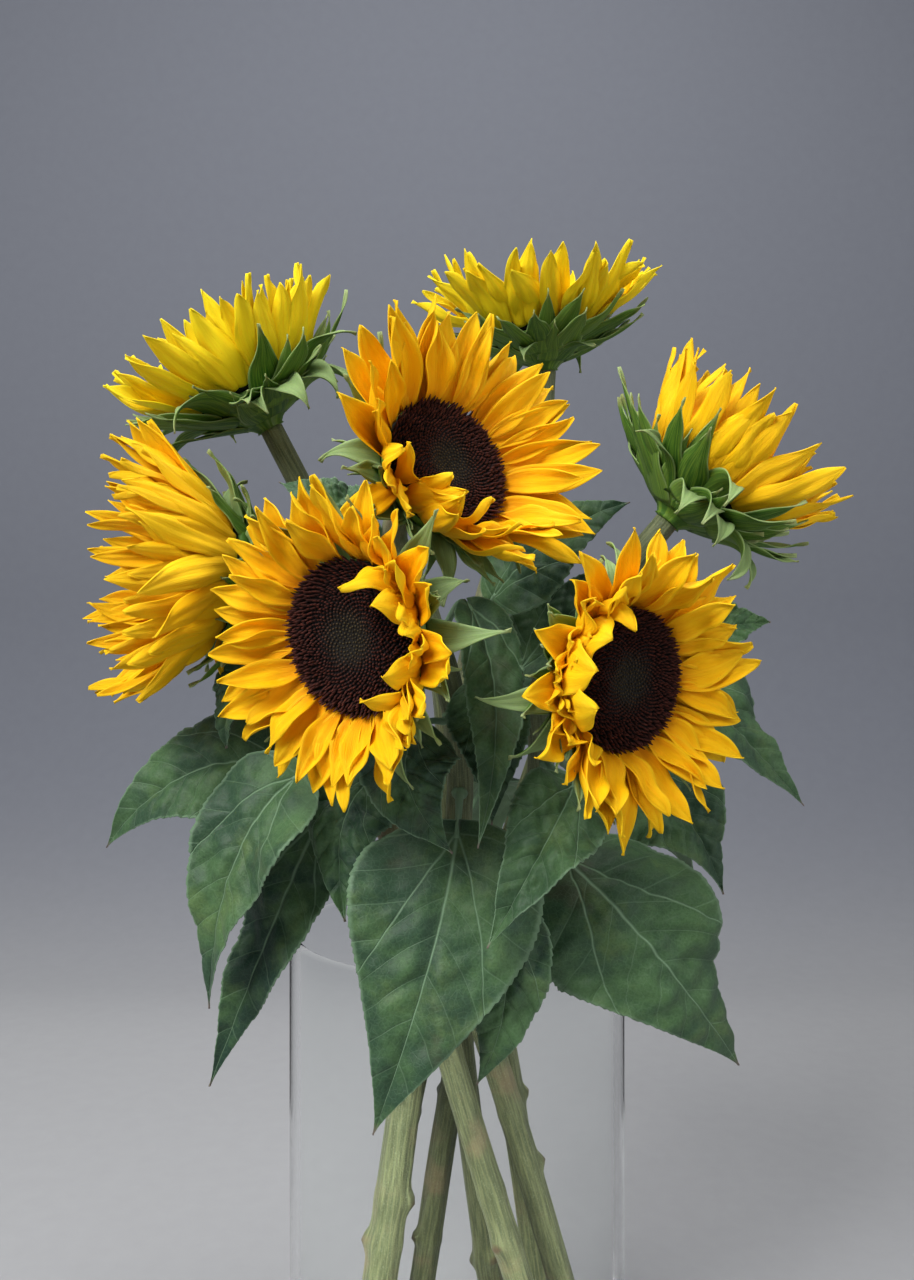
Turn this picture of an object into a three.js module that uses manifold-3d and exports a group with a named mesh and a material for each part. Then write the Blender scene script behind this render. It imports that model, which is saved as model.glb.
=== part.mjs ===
// Seven cut sunflowers standing in a round clear-glass vase.
// Millimetres, +Z up. The origin is the centre of the vase's flat foot, and the bouquet's best
// side looks along -Y. Every flower is a stem, a cup of green bracts, a ring of petals, a disc
// and its leaves; nothing is joined to anything but by resting and leaning in the vase.
import * as THREE from 'three';
import { mergeVertices } from 'three/addons/utils/BufferGeometryUtils.js';
import Module from 'manifold-3d';

const wasm = await Module();
wasm.setup();

// ---------------------------------------------------------------- driving dimensions

const GAP = 0.3;                 // left between pieces that touch

const VASE = { radius: 90, height: 280, wall: 4.5, floor: 14, edge: 3, corner: 4, sides: 36 };

const STEM = { sides: 8, steps: 13, footZ: VASE.floor + 4, waistZ: 240, waistRadius: 20.5, neck: 22 };

// Heights in a flower are measured from the plane of its disc's rim. The cup widens from the
// stem's neck, first by flare within flareRise, then to its belly and its lip.
const CUP = {
  depth: 27, neckRadius: 8, flare: 5, flareRise: 4, bellyInset: 3, bellyZ: -15, lip: 3, lipZ: -9,
  top: -6, sides: 12,
};

// The disc's dome, from its edge over a shoulder and a crown down to a dimple in the middle.
// Shoulder and crown are shares of the disc's radius.
const DISC = {
  edgeZ: -0.5, shoulder: 0.8, shoulderZ: 2.5, crown: 0.45, crownZ: 5, dimpleZ: 4, sides: 12,
};

const PETALS = {
  count: 11, width: 17, rootWidth: 7.65, tipWidth: 3, thickness: 0.9, fold: 0.12,
  collar: 2.9, collarTop: -1.5, curl: 9,
};

// A bract leaves the cup rootInset inside the disc's rim at rootZ, keeps near level to bendShare
// of its reach at bendZ, and ends at tipZ.
const BRACTS = {
  count: 9, width: 13, rootWidth: 11.7, tipWidth: 1.6, thickness: 1.1, fold: 0.1,
  rootInset: 4, rootZ: -12, bendShare: 0.55, bendZ: -11, reach: 27, tipZ: 0,
};

// A blade's half widths are shares of its greatest one, then the tip's own half width. Its stalk
// leaves the stem and enters the blade in straight leads, and ends inside the blade's base.
const LEAF = {
  widthShares: [0.4, 0.95, 1, 0.72, 0.36], tipHalf: 1, thickness: 1.2, fold: 0.14,
  stalkRadius: 2, stalkTaper: 0.6, stalkLead: 0.35, stalkEnd: 0.06, stalkSides: 5, stalkSteps: 3,
};

const MERGE = 1e-4;              // vertices nearer than this are one

// Each flower: where the middle of its disc is, which way it faces, its disc's radius, its
// petals' length and how far they lift from the disc's plane, its stem's radii at foot and neck,
// the stem's foot, its place round the waist where the stems cross, and the points it passes
// between the waist and its neck. Leaves name the height at which they leave the stem, the base,
// middle and tip of the blade's midrib, the blade's width, and the way its upper side faces.
const FLOWERS = [
  {
    disc: [51, 60, 624], facing: [-0.08, -0.14, 0.99], discRadius: 31, petal: 52, lift: 45,
    stem: [9.5, 6.5], foot: [-52, -38], waist: 180, via: [[-10, 16, 330], [15, 38, 450]],
    leaves: [
      { from: 450, base: [20, 10, 458], mid: [52, -4, 490], tip: [94, 0, 510], width: 52,
        faces: [-0.3, -0.8, 0.5] },
      { from: 400, base: [16, 62, 415], mid: [22, 112, 404], tip: [30, 150, 340], width: 70,
        faces: [0, 0.5, 0.8] },
      { from: 380, base: [30, 56, 384], mid: [66, 92, 370], tip: [98, 118, 300], width: 66,
        faces: [0.6, 0.6, 0.5] },
      { from: 380, base: [34, 18, 416], mid: [66, 20, 452], tip: [104, 22, 474], width: 50,
        faces: [-0.2, -0.9, 0.4] },
    ],
  },
  {
    disc: [-115, 0, 574], facing: [-0.48, -0.18, 0.86], discRadius: 31, petal: 52, lift: 55,
    stem: [7.6, 6.2], foot: [60, -38], waist: 240, via: [[-26, -8, 310], [-52, -4, 430]],
    leaves: [
      { from: 455, base: [-76, -6, 470], mid: [-90, -10, 466], tip: [-100, -10, 440], width: 34,
        faces: [-0.3, -0.9, 0.3] },
      { from: 400, base: [-62, 26, 410], mid: [-98, 54, 400], tip: [-134, 78, 340], width: 62,
        faces: [-0.5, 0.5, 0.7] },
    ],
  },
  {
    disc: [-4, -90, 515], facing: [0.61, -0.74, 0.28], discRadius: 31, petal: 47, lift: 45,
    stem: [7.6, 6.2], foot: [24, 58], waist: null, via: [[-2, -12, 330], [-10, -26, 430]],
    leaves: [
      { from: 440, base: [6, -86, 450], mid: [17, -110, 404], tip: [9, -114, 344], width: 30,
        faces: [0.3, -0.95, 0.1] },
      { from: 330, base: [14, 50, 352], mid: [10, 98, 330], tip: [4, 118, 250], width: 64,
        faces: [0, 0.9, 0.4] },
      { from: 468, base: [-44, -50, 498], mid: [-64, -54, 504], tip: [-90, -40, 515], width: 32,
        faces: [0.1, -0.8, 0.6] },
    ],
  },
  {
    disc: [-122, -50, 469], facing: [-0.89, -0.45, 0.05], discRadius: 30, petal: 70, lift: 60,
    stem: [7.6, 6.2], foot: [76, 10], waist: 300, via: [[-16, -34, 300], [-58, -38, 390]],
    leaves: [
      { from: 362, base: [-80, -34, 366], mid: [-134, -34, 368], tip: [-184, -20, 326], width: 66,
        faces: [-0.2, -0.8, 0.55] },
      { from: 376, base: [-76, -72, 370], mid: [-104, -84, 330], tip: [-117, -76, 261], width: 60,
        faces: [-0.3, -0.9, 0.3] },
      { from: 345, base: [-68, -54, 346], mid: [-92, -62, 290], tip: [-122, -54, 215], width: 42,
        faces: [-0.3, -0.9, 0.2] },
      { from: 425, base: [-92, -62, 425], mid: [-108, -66, 408], tip: [-113, -56, 382], width: 30,
        faces: [-0.5, -0.8, 0.2] },
    ],
  },
  {
    disc: [-44, -135, 436], facing: [-0.54, -0.83, -0.14], discRadius: 32, petal: 42, lift: 45,
    stem: [7.6, 6.2], foot: [54, 52], waist: 0, via: [[2, -34, 320], [0, -62, 396]],
    leaves: [
      { from: 362, base: [0, -82, 345], mid: [-12, -106, 292], tip: [-37, -110, 217], width: 88,
        faces: [-0.1, -1, 0.15] },
      { from: 400, base: [-16, -93, 396], mid: [-22, -106, 372], tip: [-2, -104, 340], width: 48,
        faces: [-0.2, -0.95, 0.2] },
      { from: 308, base: [15, -86, 312], mid: [22, -99, 276], tip: [9, -98, 234], width: 44,
        faces: [0.1, -1, 0.1] },
      { from: 340, base: [-40, -66, 368], mid: [-54, -78, 346], tip: [-52, -84, 304], width: 44,
        faces: [-0.3, -0.9, 0.3] },
      { from: 405, base: [10, -80, 414], mid: [16, -88, 388], tip: [16, -90, 350], width: 38,
        faces: [0.1, -1, 0.1] },
    ],
  },
  {
    disc: [72, -125, 418], facing: [0.58, -0.8, -0.1], discRadius: 30, petal: 45, lift: 42,
    stem: [7.6, 6.2], foot: [-26, 66], waist: 60, via: [[40, -4, 310], [42, -44, 366]],
    leaves: [
      { from: 378, base: [54, -88, 368], mid: [38, -112, 344], tip: [13, -120, 302], width: 44,
        faces: [-0.1, -0.95, 0.3] },
      { from: 330, base: [52, -64, 330], mid: [92, -86, 290], tip: [138, -58, 227], width: 90,
        faces: [0.35, -0.85, 0.4] },
    ],
  },
  {
    disc: [127, -30, 516], facing: [0.68, -0.08, 0.72], discRadius: 31, petal: 58, lift: 62,
    stem: [7.6, 6.2], foot: [-56, 42], waist: 120, via: [[24, 10, 310], [62, -12, 420]],
    leaves: [
      { from: 360, base: [84, -26, 362], mid: [114, -34, 348], tip: [137, -30, 304], width: 62,
        faces: [0.3, -0.9, 0.3] },
      { from: 420, base: [116, -22, 416], mid: [142, -24, 392], tip: [182, -20, 348], width: 54,
        faces: [0.3, -0.8, 0.5] },
      { from: 440, base: [122, -14, 436], mid: [143, -18, 442], tip: [164, -22, 444], width: 36,
        faces: [0.1, -0.9, 0.5] },
      { from: 330, base: [68, 24, 338], mid: [108, 40, 334], tip: [146, 48, 276], width: 58,
        faces: [0.7, 0.3, 0.6] },
    ],
  },
];

// ---------------------------------------------------------------- materials

const GLASS = new THREE.MeshStandardMaterial({ color: 0xdfe8e8, roughness: 0.03, metalness: 0 });
const STEM_GREEN = new THREE.MeshStandardMaterial({ color: 0x7d8f5c, roughness: 0.7 });
const BRACT_GREEN = new THREE.MeshStandardMaterial({ color: 0x4d7a33, roughness: 0.65 });
const PETAL_YELLOW = new THREE.MeshStandardMaterial({ color: 0xf8b80c, roughness: 0.55 });
const DISC_BROWN = new THREE.MeshStandardMaterial({ color: 0x2e130f, roughness: 0.9 });
const LEAF_GREEN = new THREE.MeshStandardMaterial({ color: 0x2f5540, roughness: 0.6 });

// ---------------------------------------------------------------- solids

function toSolid(geometry) {
  geometry.deleteAttribute('normal');
  geometry.deleteAttribute('uv');
  const merged = mergeVertices(geometry, MERGE);
  return new wasm.Manifold(new wasm.Mesh({
    numProp: 3,
    vertProperties: new Float32Array(merged.attributes.position.array),
    triVerts: new Uint32Array(merged.index.array),
  }));
}

function toGeometry(solid) {
  const mesh = solid.getMesh();
  const geometry = new THREE.BufferGeometry();
  geometry.setAttribute('position', new THREE.BufferAttribute(new Float32Array(mesh.vertProperties), 3));
  geometry.setIndex(new THREE.BufferAttribute(new Uint32Array(mesh.triVerts), 1));
  geometry.computeVertexNormals();
  return geometry;
}

function joined(solids) {
  return toGeometry(solids.reduce((whole, next) => whole.add(next)));
}

// A profile of [radius, height] points that starts and ends on the axis, turned about +Z.
function turned(profile, sides) {
  const points = profile.map(([radius, height]) => new THREE.Vector2(radius, height));
  return new THREE.LatheGeometry(points, sides).rotateX(Math.PI / 2);
}

// A regular polygon carried along a curve, its radius going evenly from one end to the other.
function tube(curve, radii, sides, steps) {
  const section = new THREE.Shape();
  for (let i = 0; i < sides; i += 1) {
    const angle = (2 * Math.PI * i) / sides;
    const point = [Math.cos(angle), Math.sin(angle)];
    if (i === 0) section.moveTo(...point);
    else section.lineTo(...point);
  }
  section.closePath();
  const geometry = new THREE.ExtrudeGeometry(section, { steps, extrudePath: curve, bevelEnabled: false });
  const position = geometry.attributes.position;
  const centres = curve.getSpacedPoints(steps);
  const vertex = new THREE.Vector3();
  for (let i = 0; i < position.count; i += 1) {
    vertex.fromBufferAttribute(position, i);
    let nearest = 0;
    centres.forEach((centre, step) => {
      if (centre.distanceToSquared(vertex) < centres[nearest].distanceToSquared(vertex)) nearest = step;
    });
    const radius = THREE.MathUtils.lerp(radii[0], radii[1], nearest / steps);
    vertex.sub(centres[nearest]).multiplyScalar(radius).add(centres[nearest]);
    position.setXYZ(i, vertex.x, vertex.y, vertex.z);
  }
  return geometry;
}

// A thin blade along a curve. halfWidths gives its half width at evenly spaced stations from the
// base to the tip, upper is the way its upper side faces, and fold lifts its edges above the
// midrib by that share of the half width.
function blade(curve, halfWidths, upper, fold, thickness) {
  const stations = halfWidths.length;
  const across = [-1, 0, 1];
  const positions = [];
  const indices = [];
  halfWidths.forEach((half, i) => {
    const t = i / (stations - 1);
    const centre = curve.getPointAt(t);
    const along = curve.getTangentAt(t);
    const side = new THREE.Vector3().crossVectors(along, upper).normalize();
    const normal = new THREE.Vector3().crossVectors(side, along).normalize();
    [0.5, -0.5].forEach((face) => {
      across.forEach((x) => {
        const point = centre.clone().addScaledVector(side, x * half);
        point.addScaledVector(normal, Math.abs(x) * half * fold + face * thickness);
        positions.push(point.x, point.y, point.z);
      });
    });
  });
  const row = 2 * across.length;
  const last = (stations - 1) * row;
  const quad = (a, b, c, d) => indices.push(a, b, c, a, c, d);
  for (let i = 0; i < stations - 1; i += 1) {
    const a = i * row;
    const b = a + row;
    for (let j = 0; j < 2; j += 1) {
      quad(a + j, a + j + 1, b + j + 1, b + j);
      quad(a + 3 + j, b + 3 + j, b + 4 + j, a + 4 + j);
    }
    quad(a, b, b + 3, a + 3);
    quad(a + 2, a + 5, b + 5, b + 2);
  }
  for (let j = 0; j < 2; j += 1) {
    quad(j, j + 3, j + 4, j + 1);
    quad(last + j, last + j + 1, last + j + 4, last + j + 3);
  }
  const geometry = new THREE.BufferGeometry();
  geometry.setAttribute('position', new THREE.Float32BufferAttribute(positions, 3));
  geometry.setIndex(indices);
  return geometry;
}

function vector(values) {
  return new THREE.Vector3(...values);
}

// ---------------------------------------------------------------- sub-parts

function vaseGeometry() {
  const { radius, height, wall, floor, edge, corner, sides } = VASE;
  const inner = radius - wall;
  const lip = wall / 2;
  return turned([
    [0, 0], [radius - edge, 0], [radius, edge], [radius, height - lip / 2],
    [radius - lip / 2, height], [inner + lip / 2, height], [inner, height - lip / 2],
    [inner, floor + corner], [inner - corner, floor], [0, floor],
  ], sides);
}

function cupProfile(discRadius) {
  const { depth, neckRadius, flare, flareRise, bellyInset, bellyZ, lip, lipZ, top } = CUP;
  return [
    [0, -depth], [neckRadius, -depth], [neckRadius + flare, -depth + flareRise],
    [discRadius - bellyInset, bellyZ], [discRadius + lip, lipZ], [discRadius + lip, top], [0, top],
  ];
}

function bractsGeometry(flower) {
  const { count, width, rootWidth, tipWidth, thickness, fold, bendShare, reach } = BRACTS;
  const root = flower.discRadius - BRACTS.rootInset;
  const solids = [toSolid(turned(cupProfile(flower.discRadius), CUP.sides))];
  for (let i = 0; i < count; i += 1) {
    const curve = new THREE.QuadraticBezierCurve3(
      new THREE.Vector3(root, 0, BRACTS.rootZ),
      new THREE.Vector3(root + bendShare * reach, 0, BRACTS.bendZ),
      new THREE.Vector3(root + reach, 0, BRACTS.tipZ),
    );
    const halfWidths = [rootWidth / 2, width / 2, tipWidth / 2];
    const bract = blade(curve, halfWidths, new THREE.Vector3(0, 0, 1), fold, thickness);
    solids.push(toSolid(bract.rotateZ((2 * Math.PI * i) / count)));
  }
  return joined(solids);
}

function discGeometry(flower) {
  const radius = flower.discRadius;
  const base = CUP.top + GAP;
  return turned([
    [0, base], [radius, base], [radius, DISC.edgeZ], [radius * DISC.shoulder, DISC.shoulderZ],
    [radius * DISC.crown, DISC.crownZ], [0, DISC.dimpleZ],
  ], DISC.sides);
}

function petalsGeometry(flower) {
  const { count, width, rootWidth, tipWidth, thickness, fold, collar, collarTop, curl } = PETALS;
  const inner = flower.discRadius + GAP;
  const outer = inner + collar;
  const base = CUP.top + GAP;
  const ring = new THREE.LatheGeometry([
    new THREE.Vector2(inner, base), new THREE.Vector2(outer, base),
    new THREE.Vector2(outer, collarTop), new THREE.Vector2(inner, collarTop),
    new THREE.Vector2(inner, base),
  ], DISC.sides).rotateX(Math.PI / 2);
  const solids = [toSolid(ring)];
  const lift = THREE.MathUtils.degToRad(flower.lift);
  const root = new THREE.Vector3(inner + collar / 2, 0, (base + collarTop) / 2);
  const tip = root.clone().add(new THREE.Vector3(
    flower.petal * Math.cos(lift), 0, flower.petal * Math.sin(lift)));
  const bow = new THREE.Vector3(Math.sin(lift), 0, -Math.cos(lift)).multiplyScalar(curl);
  const bend = root.clone().add(tip).multiplyScalar(0.5).add(bow);
  const curve = new THREE.QuadraticBezierCurve3(root, bend, tip);
  const halfWidths = [rootWidth / 2, width / 2, tipWidth / 2];
  const upper = new THREE.Vector3(-Math.sin(lift), 0, Math.cos(lift));
  for (let i = 0; i < count; i += 1) {
    const petal = blade(curve, halfWidths, upper, fold, thickness);
    solids.push(toSolid(petal.rotateZ((2 * Math.PI * (i + 0.5)) / count)));
  }
  return joined(solids);
}

// The stem's centre line: foot on the vase's floor, the crossing, the points given, and a
// straight neck into the back of the flower.
function stemCurve(flower) {
  const facing = vector(flower.facing).normalize();
  const disc = vector(flower.disc);
  const end = disc.clone().addScaledVector(facing, -(CUP.depth + GAP));
  const neck = end.clone().addScaledVector(facing, -STEM.neck);
  const angle = THREE.MathUtils.degToRad(flower.waist ?? 0);
  const spread = flower.waist === null ? 0 : STEM.waistRadius;
  const waist = new THREE.Vector3(spread * Math.cos(angle), spread * Math.sin(angle), STEM.waistZ);
  const foot = new THREE.Vector3(...flower.foot, STEM.footZ);
  return new THREE.CatmullRomCurve3([foot, waist, ...flower.via.map(vector), neck, end]);
}

// How far along the stem, from 0 to 1, it reaches a height.
function shareAtHeight(curve, height) {
  const steps = 200;
  const points = curve.getSpacedPoints(steps);
  const miss = points.map((point) => Math.abs(point.z - height));
  return miss.indexOf(Math.min(...miss)) / steps;
}

// A leaf is a stalk that leaves the stem's skin squarely and a pointed heart-shaped blade.
function leafGeometry(leaf, curve, stemRadii) {
  const [base, mid, tip] = [leaf.base, leaf.mid, leaf.tip].map(vector);
  const place = shareAtHeight(curve, leaf.from);
  const centre = curve.getPointAt(place);
  const along = curve.getTangentAt(place);
  const outward = base.clone().sub(centre);
  outward.addScaledVector(along, -outward.dot(along)).normalize();
  const skin = THREE.MathUtils.lerp(stemRadii[0], stemRadii[1], place) + 2 * GAP;
  const start = centre.clone().addScaledVector(outward, skin);
  const bend = mid.multiplyScalar(2).sub(base.clone().add(tip).multiplyScalar(0.5));
  const midrib = new THREE.QuadraticBezierCurve3(base, bend, tip);
  const lead = LEAF.stalkLead * start.distanceTo(base);
  const stalk = new THREE.CubicBezierCurve3(
    start, start.clone().addScaledVector(outward, lead),
    base.clone().addScaledVector(midrib.getTangentAt(0), -lead), midrib.getPointAt(LEAF.stalkEnd));
  const halfWidths = [...LEAF.widthShares.map((share) => (share * leaf.width) / 2), LEAF.tipHalf];
  const upper = vector(leaf.faces).normalize();
  const radii = [LEAF.stalkRadius, LEAF.stalkRadius * LEAF.stalkTaper];
  return joined([
    toSolid(tube(stalk, radii, LEAF.stalkSides, LEAF.stalkSteps)),
    toSolid(blade(midrib, halfWidths, upper, LEAF.fold, LEAF.thickness)),
  ]);
}

// ---------------------------------------------------------------- assembly

const bouquet = new THREE.Group();

function add(parent, name, geometry, material) {
  const mesh = new THREE.Mesh(geometry, material);
  mesh.name = name;
  parent.add(mesh);
}

add(bouquet, 'vase', vaseGeometry(), GLASS);

FLOWERS.forEach((flower, index) => {
  const name = `flower_${index + 1}`;
  const curve = stemCurve(flower);
  add(bouquet, `${name}_stem`, tube(curve, flower.stem, STEM.sides, STEM.steps), STEM_GREEN);

  const head = new THREE.Group();
  head.position.set(...flower.disc);
  head.quaternion.setFromUnitVectors(new THREE.Vector3(0, 0, 1), vector(flower.facing).normalize());
  bouquet.add(head);
  add(head, `${name}_bracts`, bractsGeometry(flower), BRACT_GREEN);
  add(head, `${name}_disc`, discGeometry(flower), DISC_BROWN);
  add(head, `${name}_petals`, petalsGeometry(flower), PETAL_YELLOW);

  flower.leaves.forEach((leaf, number) => {
    const geometry = leafGeometry(leaf, curve, flower.stem);
    add(bouquet, `${name}_leaf_${number + 1}`, geometry, LEAF_GREEN);
  });
});

export default bouquet;
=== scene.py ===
# Seven cut sunflowers in a round glass vase: the looks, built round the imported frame.
# Metres, +Z up, the vase's foot at the origin, the bouquet's best side looking along -Y.
import bpy
import math
import numpy as np
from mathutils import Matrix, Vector


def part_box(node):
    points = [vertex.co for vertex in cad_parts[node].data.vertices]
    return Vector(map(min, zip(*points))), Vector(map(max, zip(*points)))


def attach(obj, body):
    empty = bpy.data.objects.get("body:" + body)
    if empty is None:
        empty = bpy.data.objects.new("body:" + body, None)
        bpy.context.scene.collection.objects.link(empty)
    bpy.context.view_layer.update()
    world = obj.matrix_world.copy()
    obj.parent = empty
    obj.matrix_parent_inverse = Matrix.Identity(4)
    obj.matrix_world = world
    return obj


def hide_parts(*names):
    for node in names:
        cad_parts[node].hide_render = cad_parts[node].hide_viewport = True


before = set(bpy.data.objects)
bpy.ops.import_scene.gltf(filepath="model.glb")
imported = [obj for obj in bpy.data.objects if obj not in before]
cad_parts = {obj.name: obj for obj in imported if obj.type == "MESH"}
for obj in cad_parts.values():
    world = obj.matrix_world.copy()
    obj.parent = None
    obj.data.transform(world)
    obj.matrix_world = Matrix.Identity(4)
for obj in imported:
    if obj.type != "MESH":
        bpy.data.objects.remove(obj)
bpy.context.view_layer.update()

MM = 0.001
FLOWERS = 7
LEMON_FLOWERS = 2                # the first ones, whose petals are paler
BODY = "root"
UP = np.array([0.0, 0.0, 1.0])


# ------------------------------------------------------------------ camera, light and stage

CAMERA_PLACE = (0.0, -0.58, 0.435)
CAMERA_LENS = 30.0               # mm, on a sensor of
CAMERA_SENSOR = 36.0             # mm along its long side
CAMERA_NEAR = 0.01
KEY_LIGHT = dict(place=(-0.95, -1.25, 1.65), target=(0.0, 0.0, 0.45), size=1.0, watts=52.0)
FILL_LIGHT = dict(place=(1.5, -1.1, 0.9), target=(0.0, 0.0, 0.4), size=1.4, watts=12.0)
TOP_LIGHT = dict(place=(0.1, 0.1, 2.1), target=(0.0, 0.0, 0.4), size=1.0, watts=22.0)
SKY_COLOUR = (0.62, 0.66, 0.74, 1.0)
SKY_STRENGTH = 0.34


def aim(thing, place, target):
    """Puts a lamp or camera at place, looking at target."""
    thing.location = place
    direction = Vector(target) - Vector(place)
    thing.rotation_euler = direction.to_track_quat("-Z", "Y").to_euler()


def add_camera():
    """A level camera in front of the bouquet, its long side upright."""
    data = bpy.data.cameras.new("camera")
    data.lens = CAMERA_LENS
    data.sensor_width = CAMERA_SENSOR
    data.clip_start = CAMERA_NEAR
    camera = bpy.data.objects.new("camera", data)
    bpy.context.scene.collection.objects.link(camera)
    aim(camera, CAMERA_PLACE, (0.0, 0.0, CAMERA_PLACE[2]))
    bpy.context.scene.camera = camera


def add_lamp(name, place, target, size, watts):
    """One soft square lamp at place, shining at target."""
    data = bpy.data.lights.new(name, "AREA")
    data.energy = watts
    data.size = size
    lamp = bpy.data.objects.new(name, data)
    bpy.context.scene.collection.objects.link(lamp)
    aim(lamp, place, target)


def add_lights():
    """A large soft key from the upper left, a weak fill, a top light and an even grey sky."""
    add_lamp("key", **KEY_LIGHT)
    add_lamp("fill", **FILL_LIGHT)
    add_lamp("top", **TOP_LIGHT)
    world = bpy.data.worlds.new("sky")
    bpy.context.scene.world = world
    world.use_nodes = True
    sky = world.node_tree.nodes["Background"]
    sky.inputs["Color"].default_value = SKY_COLOUR
    sky.inputs["Strength"].default_value = SKY_STRENGTH


# ------------------------------------------------------------------ materials

class Graph:
    """A material's node tree, with short calls for the sums that its patterns need."""

    def __init__(self, name):
        self.material = bpy.data.materials.new(name)
        self.material.use_nodes = True
        self.tree = self.material.node_tree
        self.shader = self.tree.nodes["Principled BSDF"]

    def node(self, kind, **values):
        """A new node with the given settings."""
        made = self.tree.nodes.new(kind)
        for key, value in values.items():
            setattr(made, key, value)
        return made

    def feed(self, socket, value):
        """Links another node's output, or sets a number or a red, green and blue colour."""
        if isinstance(value, bpy.types.NodeSocket):
            self.tree.links.new(value, socket)
        elif isinstance(value, tuple):
            socket.default_value = (*value, 1.0)
        else:
            socket.default_value = value

    def calc(self, operation, *terms):
        """A sum of one or two numbers."""
        made = self.node("ShaderNodeMath", operation=operation)
        for socket, term in zip(made.inputs, terms):
            self.feed(socket, term)
        return made.outputs[0]

    def plus(self, first, second):
        return self.calc("ADD", first, second)

    def minus(self, first, second):
        return self.calc("SUBTRACT", first, second)

    def times(self, first, second):
        return self.calc("MULTIPLY", first, second)

    def larger(self, first, second):
        return self.calc("MAXIMUM", first, second)

    def off_middle(self, across):
        """Distance from the middle line of a strip whose UV x runs from 0 to 1."""
        return self.calc("ABSOLUTE", self.minus(across, 0.5))

    def near(self, distance, width):
        """1 on a line and 0 at width from it, smoothly."""
        made = self.node("ShaderNodeMapRange", interpolation_type="SMOOTHSTEP")
        self.feed(made.inputs["Value"], distance)
        self.feed(made.inputs["From Min"], width)
        made.inputs["From Max"].default_value = 0.0
        return made.outputs["Result"]

    def spread(self, value, low, high):
        """0 at low and 1 at high, smoothly."""
        made = self.node("ShaderNodeMapRange", interpolation_type="SMOOTHSTEP")
        self.feed(made.inputs["Value"], value)
        made.inputs["From Min"].default_value = low
        made.inputs["From Max"].default_value = high
        return made.outputs["Result"]

    def part(self, value, low, high, most):
        """0 at low and most at high, smoothly."""
        return self.times(self.spread(value, low, high), most)

    def mix(self, share, first, second, blend="MIX"):
        """The first colour with a share of the second laid over it."""
        made = self.node("ShaderNodeMix", data_type="RGBA", blend_type=blend)
        self.feed(made.inputs["Factor"], share)
        self.feed(made.inputs[6], first)
        self.feed(made.inputs[7], second)
        return made.outputs[2]

    def tint(self, share, first, stain):
        """The first colour multiplied by one that goes from white to stain with share."""
        return self.mix(share, first, stain, "MULTIPLY")

    def place(self):
        """The point's own coordinates in metres."""
        return self.node("ShaderNodeTexCoord").outputs["Object"]

    def uv(self):
        """The two surface coordinates of a piece: across or around it, and along it."""
        split = self.node("ShaderNodeSeparateXYZ")
        self.feed(split.inputs[0], self.node("ShaderNodeTexCoord").outputs["UV"])
        return split.outputs[0], split.outputs[1]

    def join(self, x, y, z=0.0):
        """Three numbers as a place for a pattern."""
        made = self.node("ShaderNodeCombineXYZ")
        for socket, value in zip(made.inputs, (x, y, z)):
            self.feed(socket, value)
        return made.outputs[0]

    def attribute(self, name):
        """A number that the mesh holds at each vertex."""
        return self.node("ShaderNodeAttribute", attribute_name=name).outputs["Fac"]

    def noise(self, vector, scale, detail=3.0, roughness=0.55):
        """Cloudy noise around 0.5, with scale lumps to the unit."""
        made = self.node("ShaderNodeTexNoise")
        self.feed(made.inputs["Vector"], vector)
        made.inputs["Scale"].default_value = scale
        made.inputs["Detail"].default_value = detail
        made.inputs["Roughness"].default_value = roughness
        return made.outputs["Fac"]

    def cells(self, vector, scale, feature="F1"):
        """Distance to the nearest of many scattered points, or to the edge of its cell."""
        made = self.node("ShaderNodeTexVoronoi", feature=feature)
        self.feed(made.inputs["Vector"], vector)
        made.inputs["Scale"].default_value = scale
        return made.outputs["Distance"]

    def bump(self, height, strength, distance):
        """Relief of the given height."""
        made = self.node("ShaderNodeBump")
        made.inputs["Strength"].default_value = strength
        made.inputs["Distance"].default_value = distance
        self.feed(made.inputs["Height"], height)
        self.tree.links.new(made.outputs[0], self.shader.inputs["Normal"])

    def finish(self, colour, roughness, **plain):
        """Sets the shader's colour, roughness and plain values, and gives the material."""
        self.feed(self.shader.inputs["Base Color"], colour)
        self.feed(self.shader.inputs["Roughness"], roughness)
        for key, value in plain.items():
            self.shader.inputs[key.replace("_", " ")].default_value = value
        return self.material


def petal_material(name, root, body, tip):
    """Soft yellow petal: deeper at its root, paler at its edges and tip, with fine grooves
    along it. UV runs across (x) and along (y); tone is a petal's own shade."""
    g = Graph(name)
    across, along = g.uv()
    tone = g.attribute("tone")
    fibres = g.noise(g.join(g.times(across, 60.0), g.times(along, 2.5), tone), 1.0)
    blotch = g.noise(g.place(), 70.0, 2.0)
    edge = g.off_middle(across)
    colour = g.mix(g.spread(along, 0.02, 0.45), root, body)
    pale = g.part(along, 0.45, 1.05, 0.75)
    colour = g.mix(pale, colour, tip)
    colour = g.mix(g.part(edge, 0.34, 0.5, 0.35), colour, tip)
    # Undersides painted paler, towards the tip colour: painted light, standing in for light glowing through
    # the petal from behind.
    colour = g.mix(g.times(g.attribute("under"), 0.45), colour, tip)
    shade = g.part(fibres, 0.46, 0.72, 0.46)
    colour = g.tint(shade, colour, (0.94, 0.66, 0.30))
    dots = g.times(g.near(g.cells(g.place(), 420.0), 0.16), g.spread(blotch, 0.55, 0.62))
    colour = g.mix(g.times(dots, 0.35), colour, (0.30, 0.12, 0.02))
    colour = g.tint(g.part(blotch, 0.5, 0.8, 0.25), colour, (1.0, 0.82, 0.6))
    colour = g.tint(g.times(tone, 0.30), colour, (0.98, 0.78, 0.5))
    g.bump(fibres, 0.8, 0.7 * MM)
    return g.finish(colour, 0.55, Subsurface_Weight=0.10, Subsurface_Scale=3.0 * MM,
                    Subsurface_Radius=(1.0, 0.6, 0.05), Specular_IOR_Level=0.12)


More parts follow.
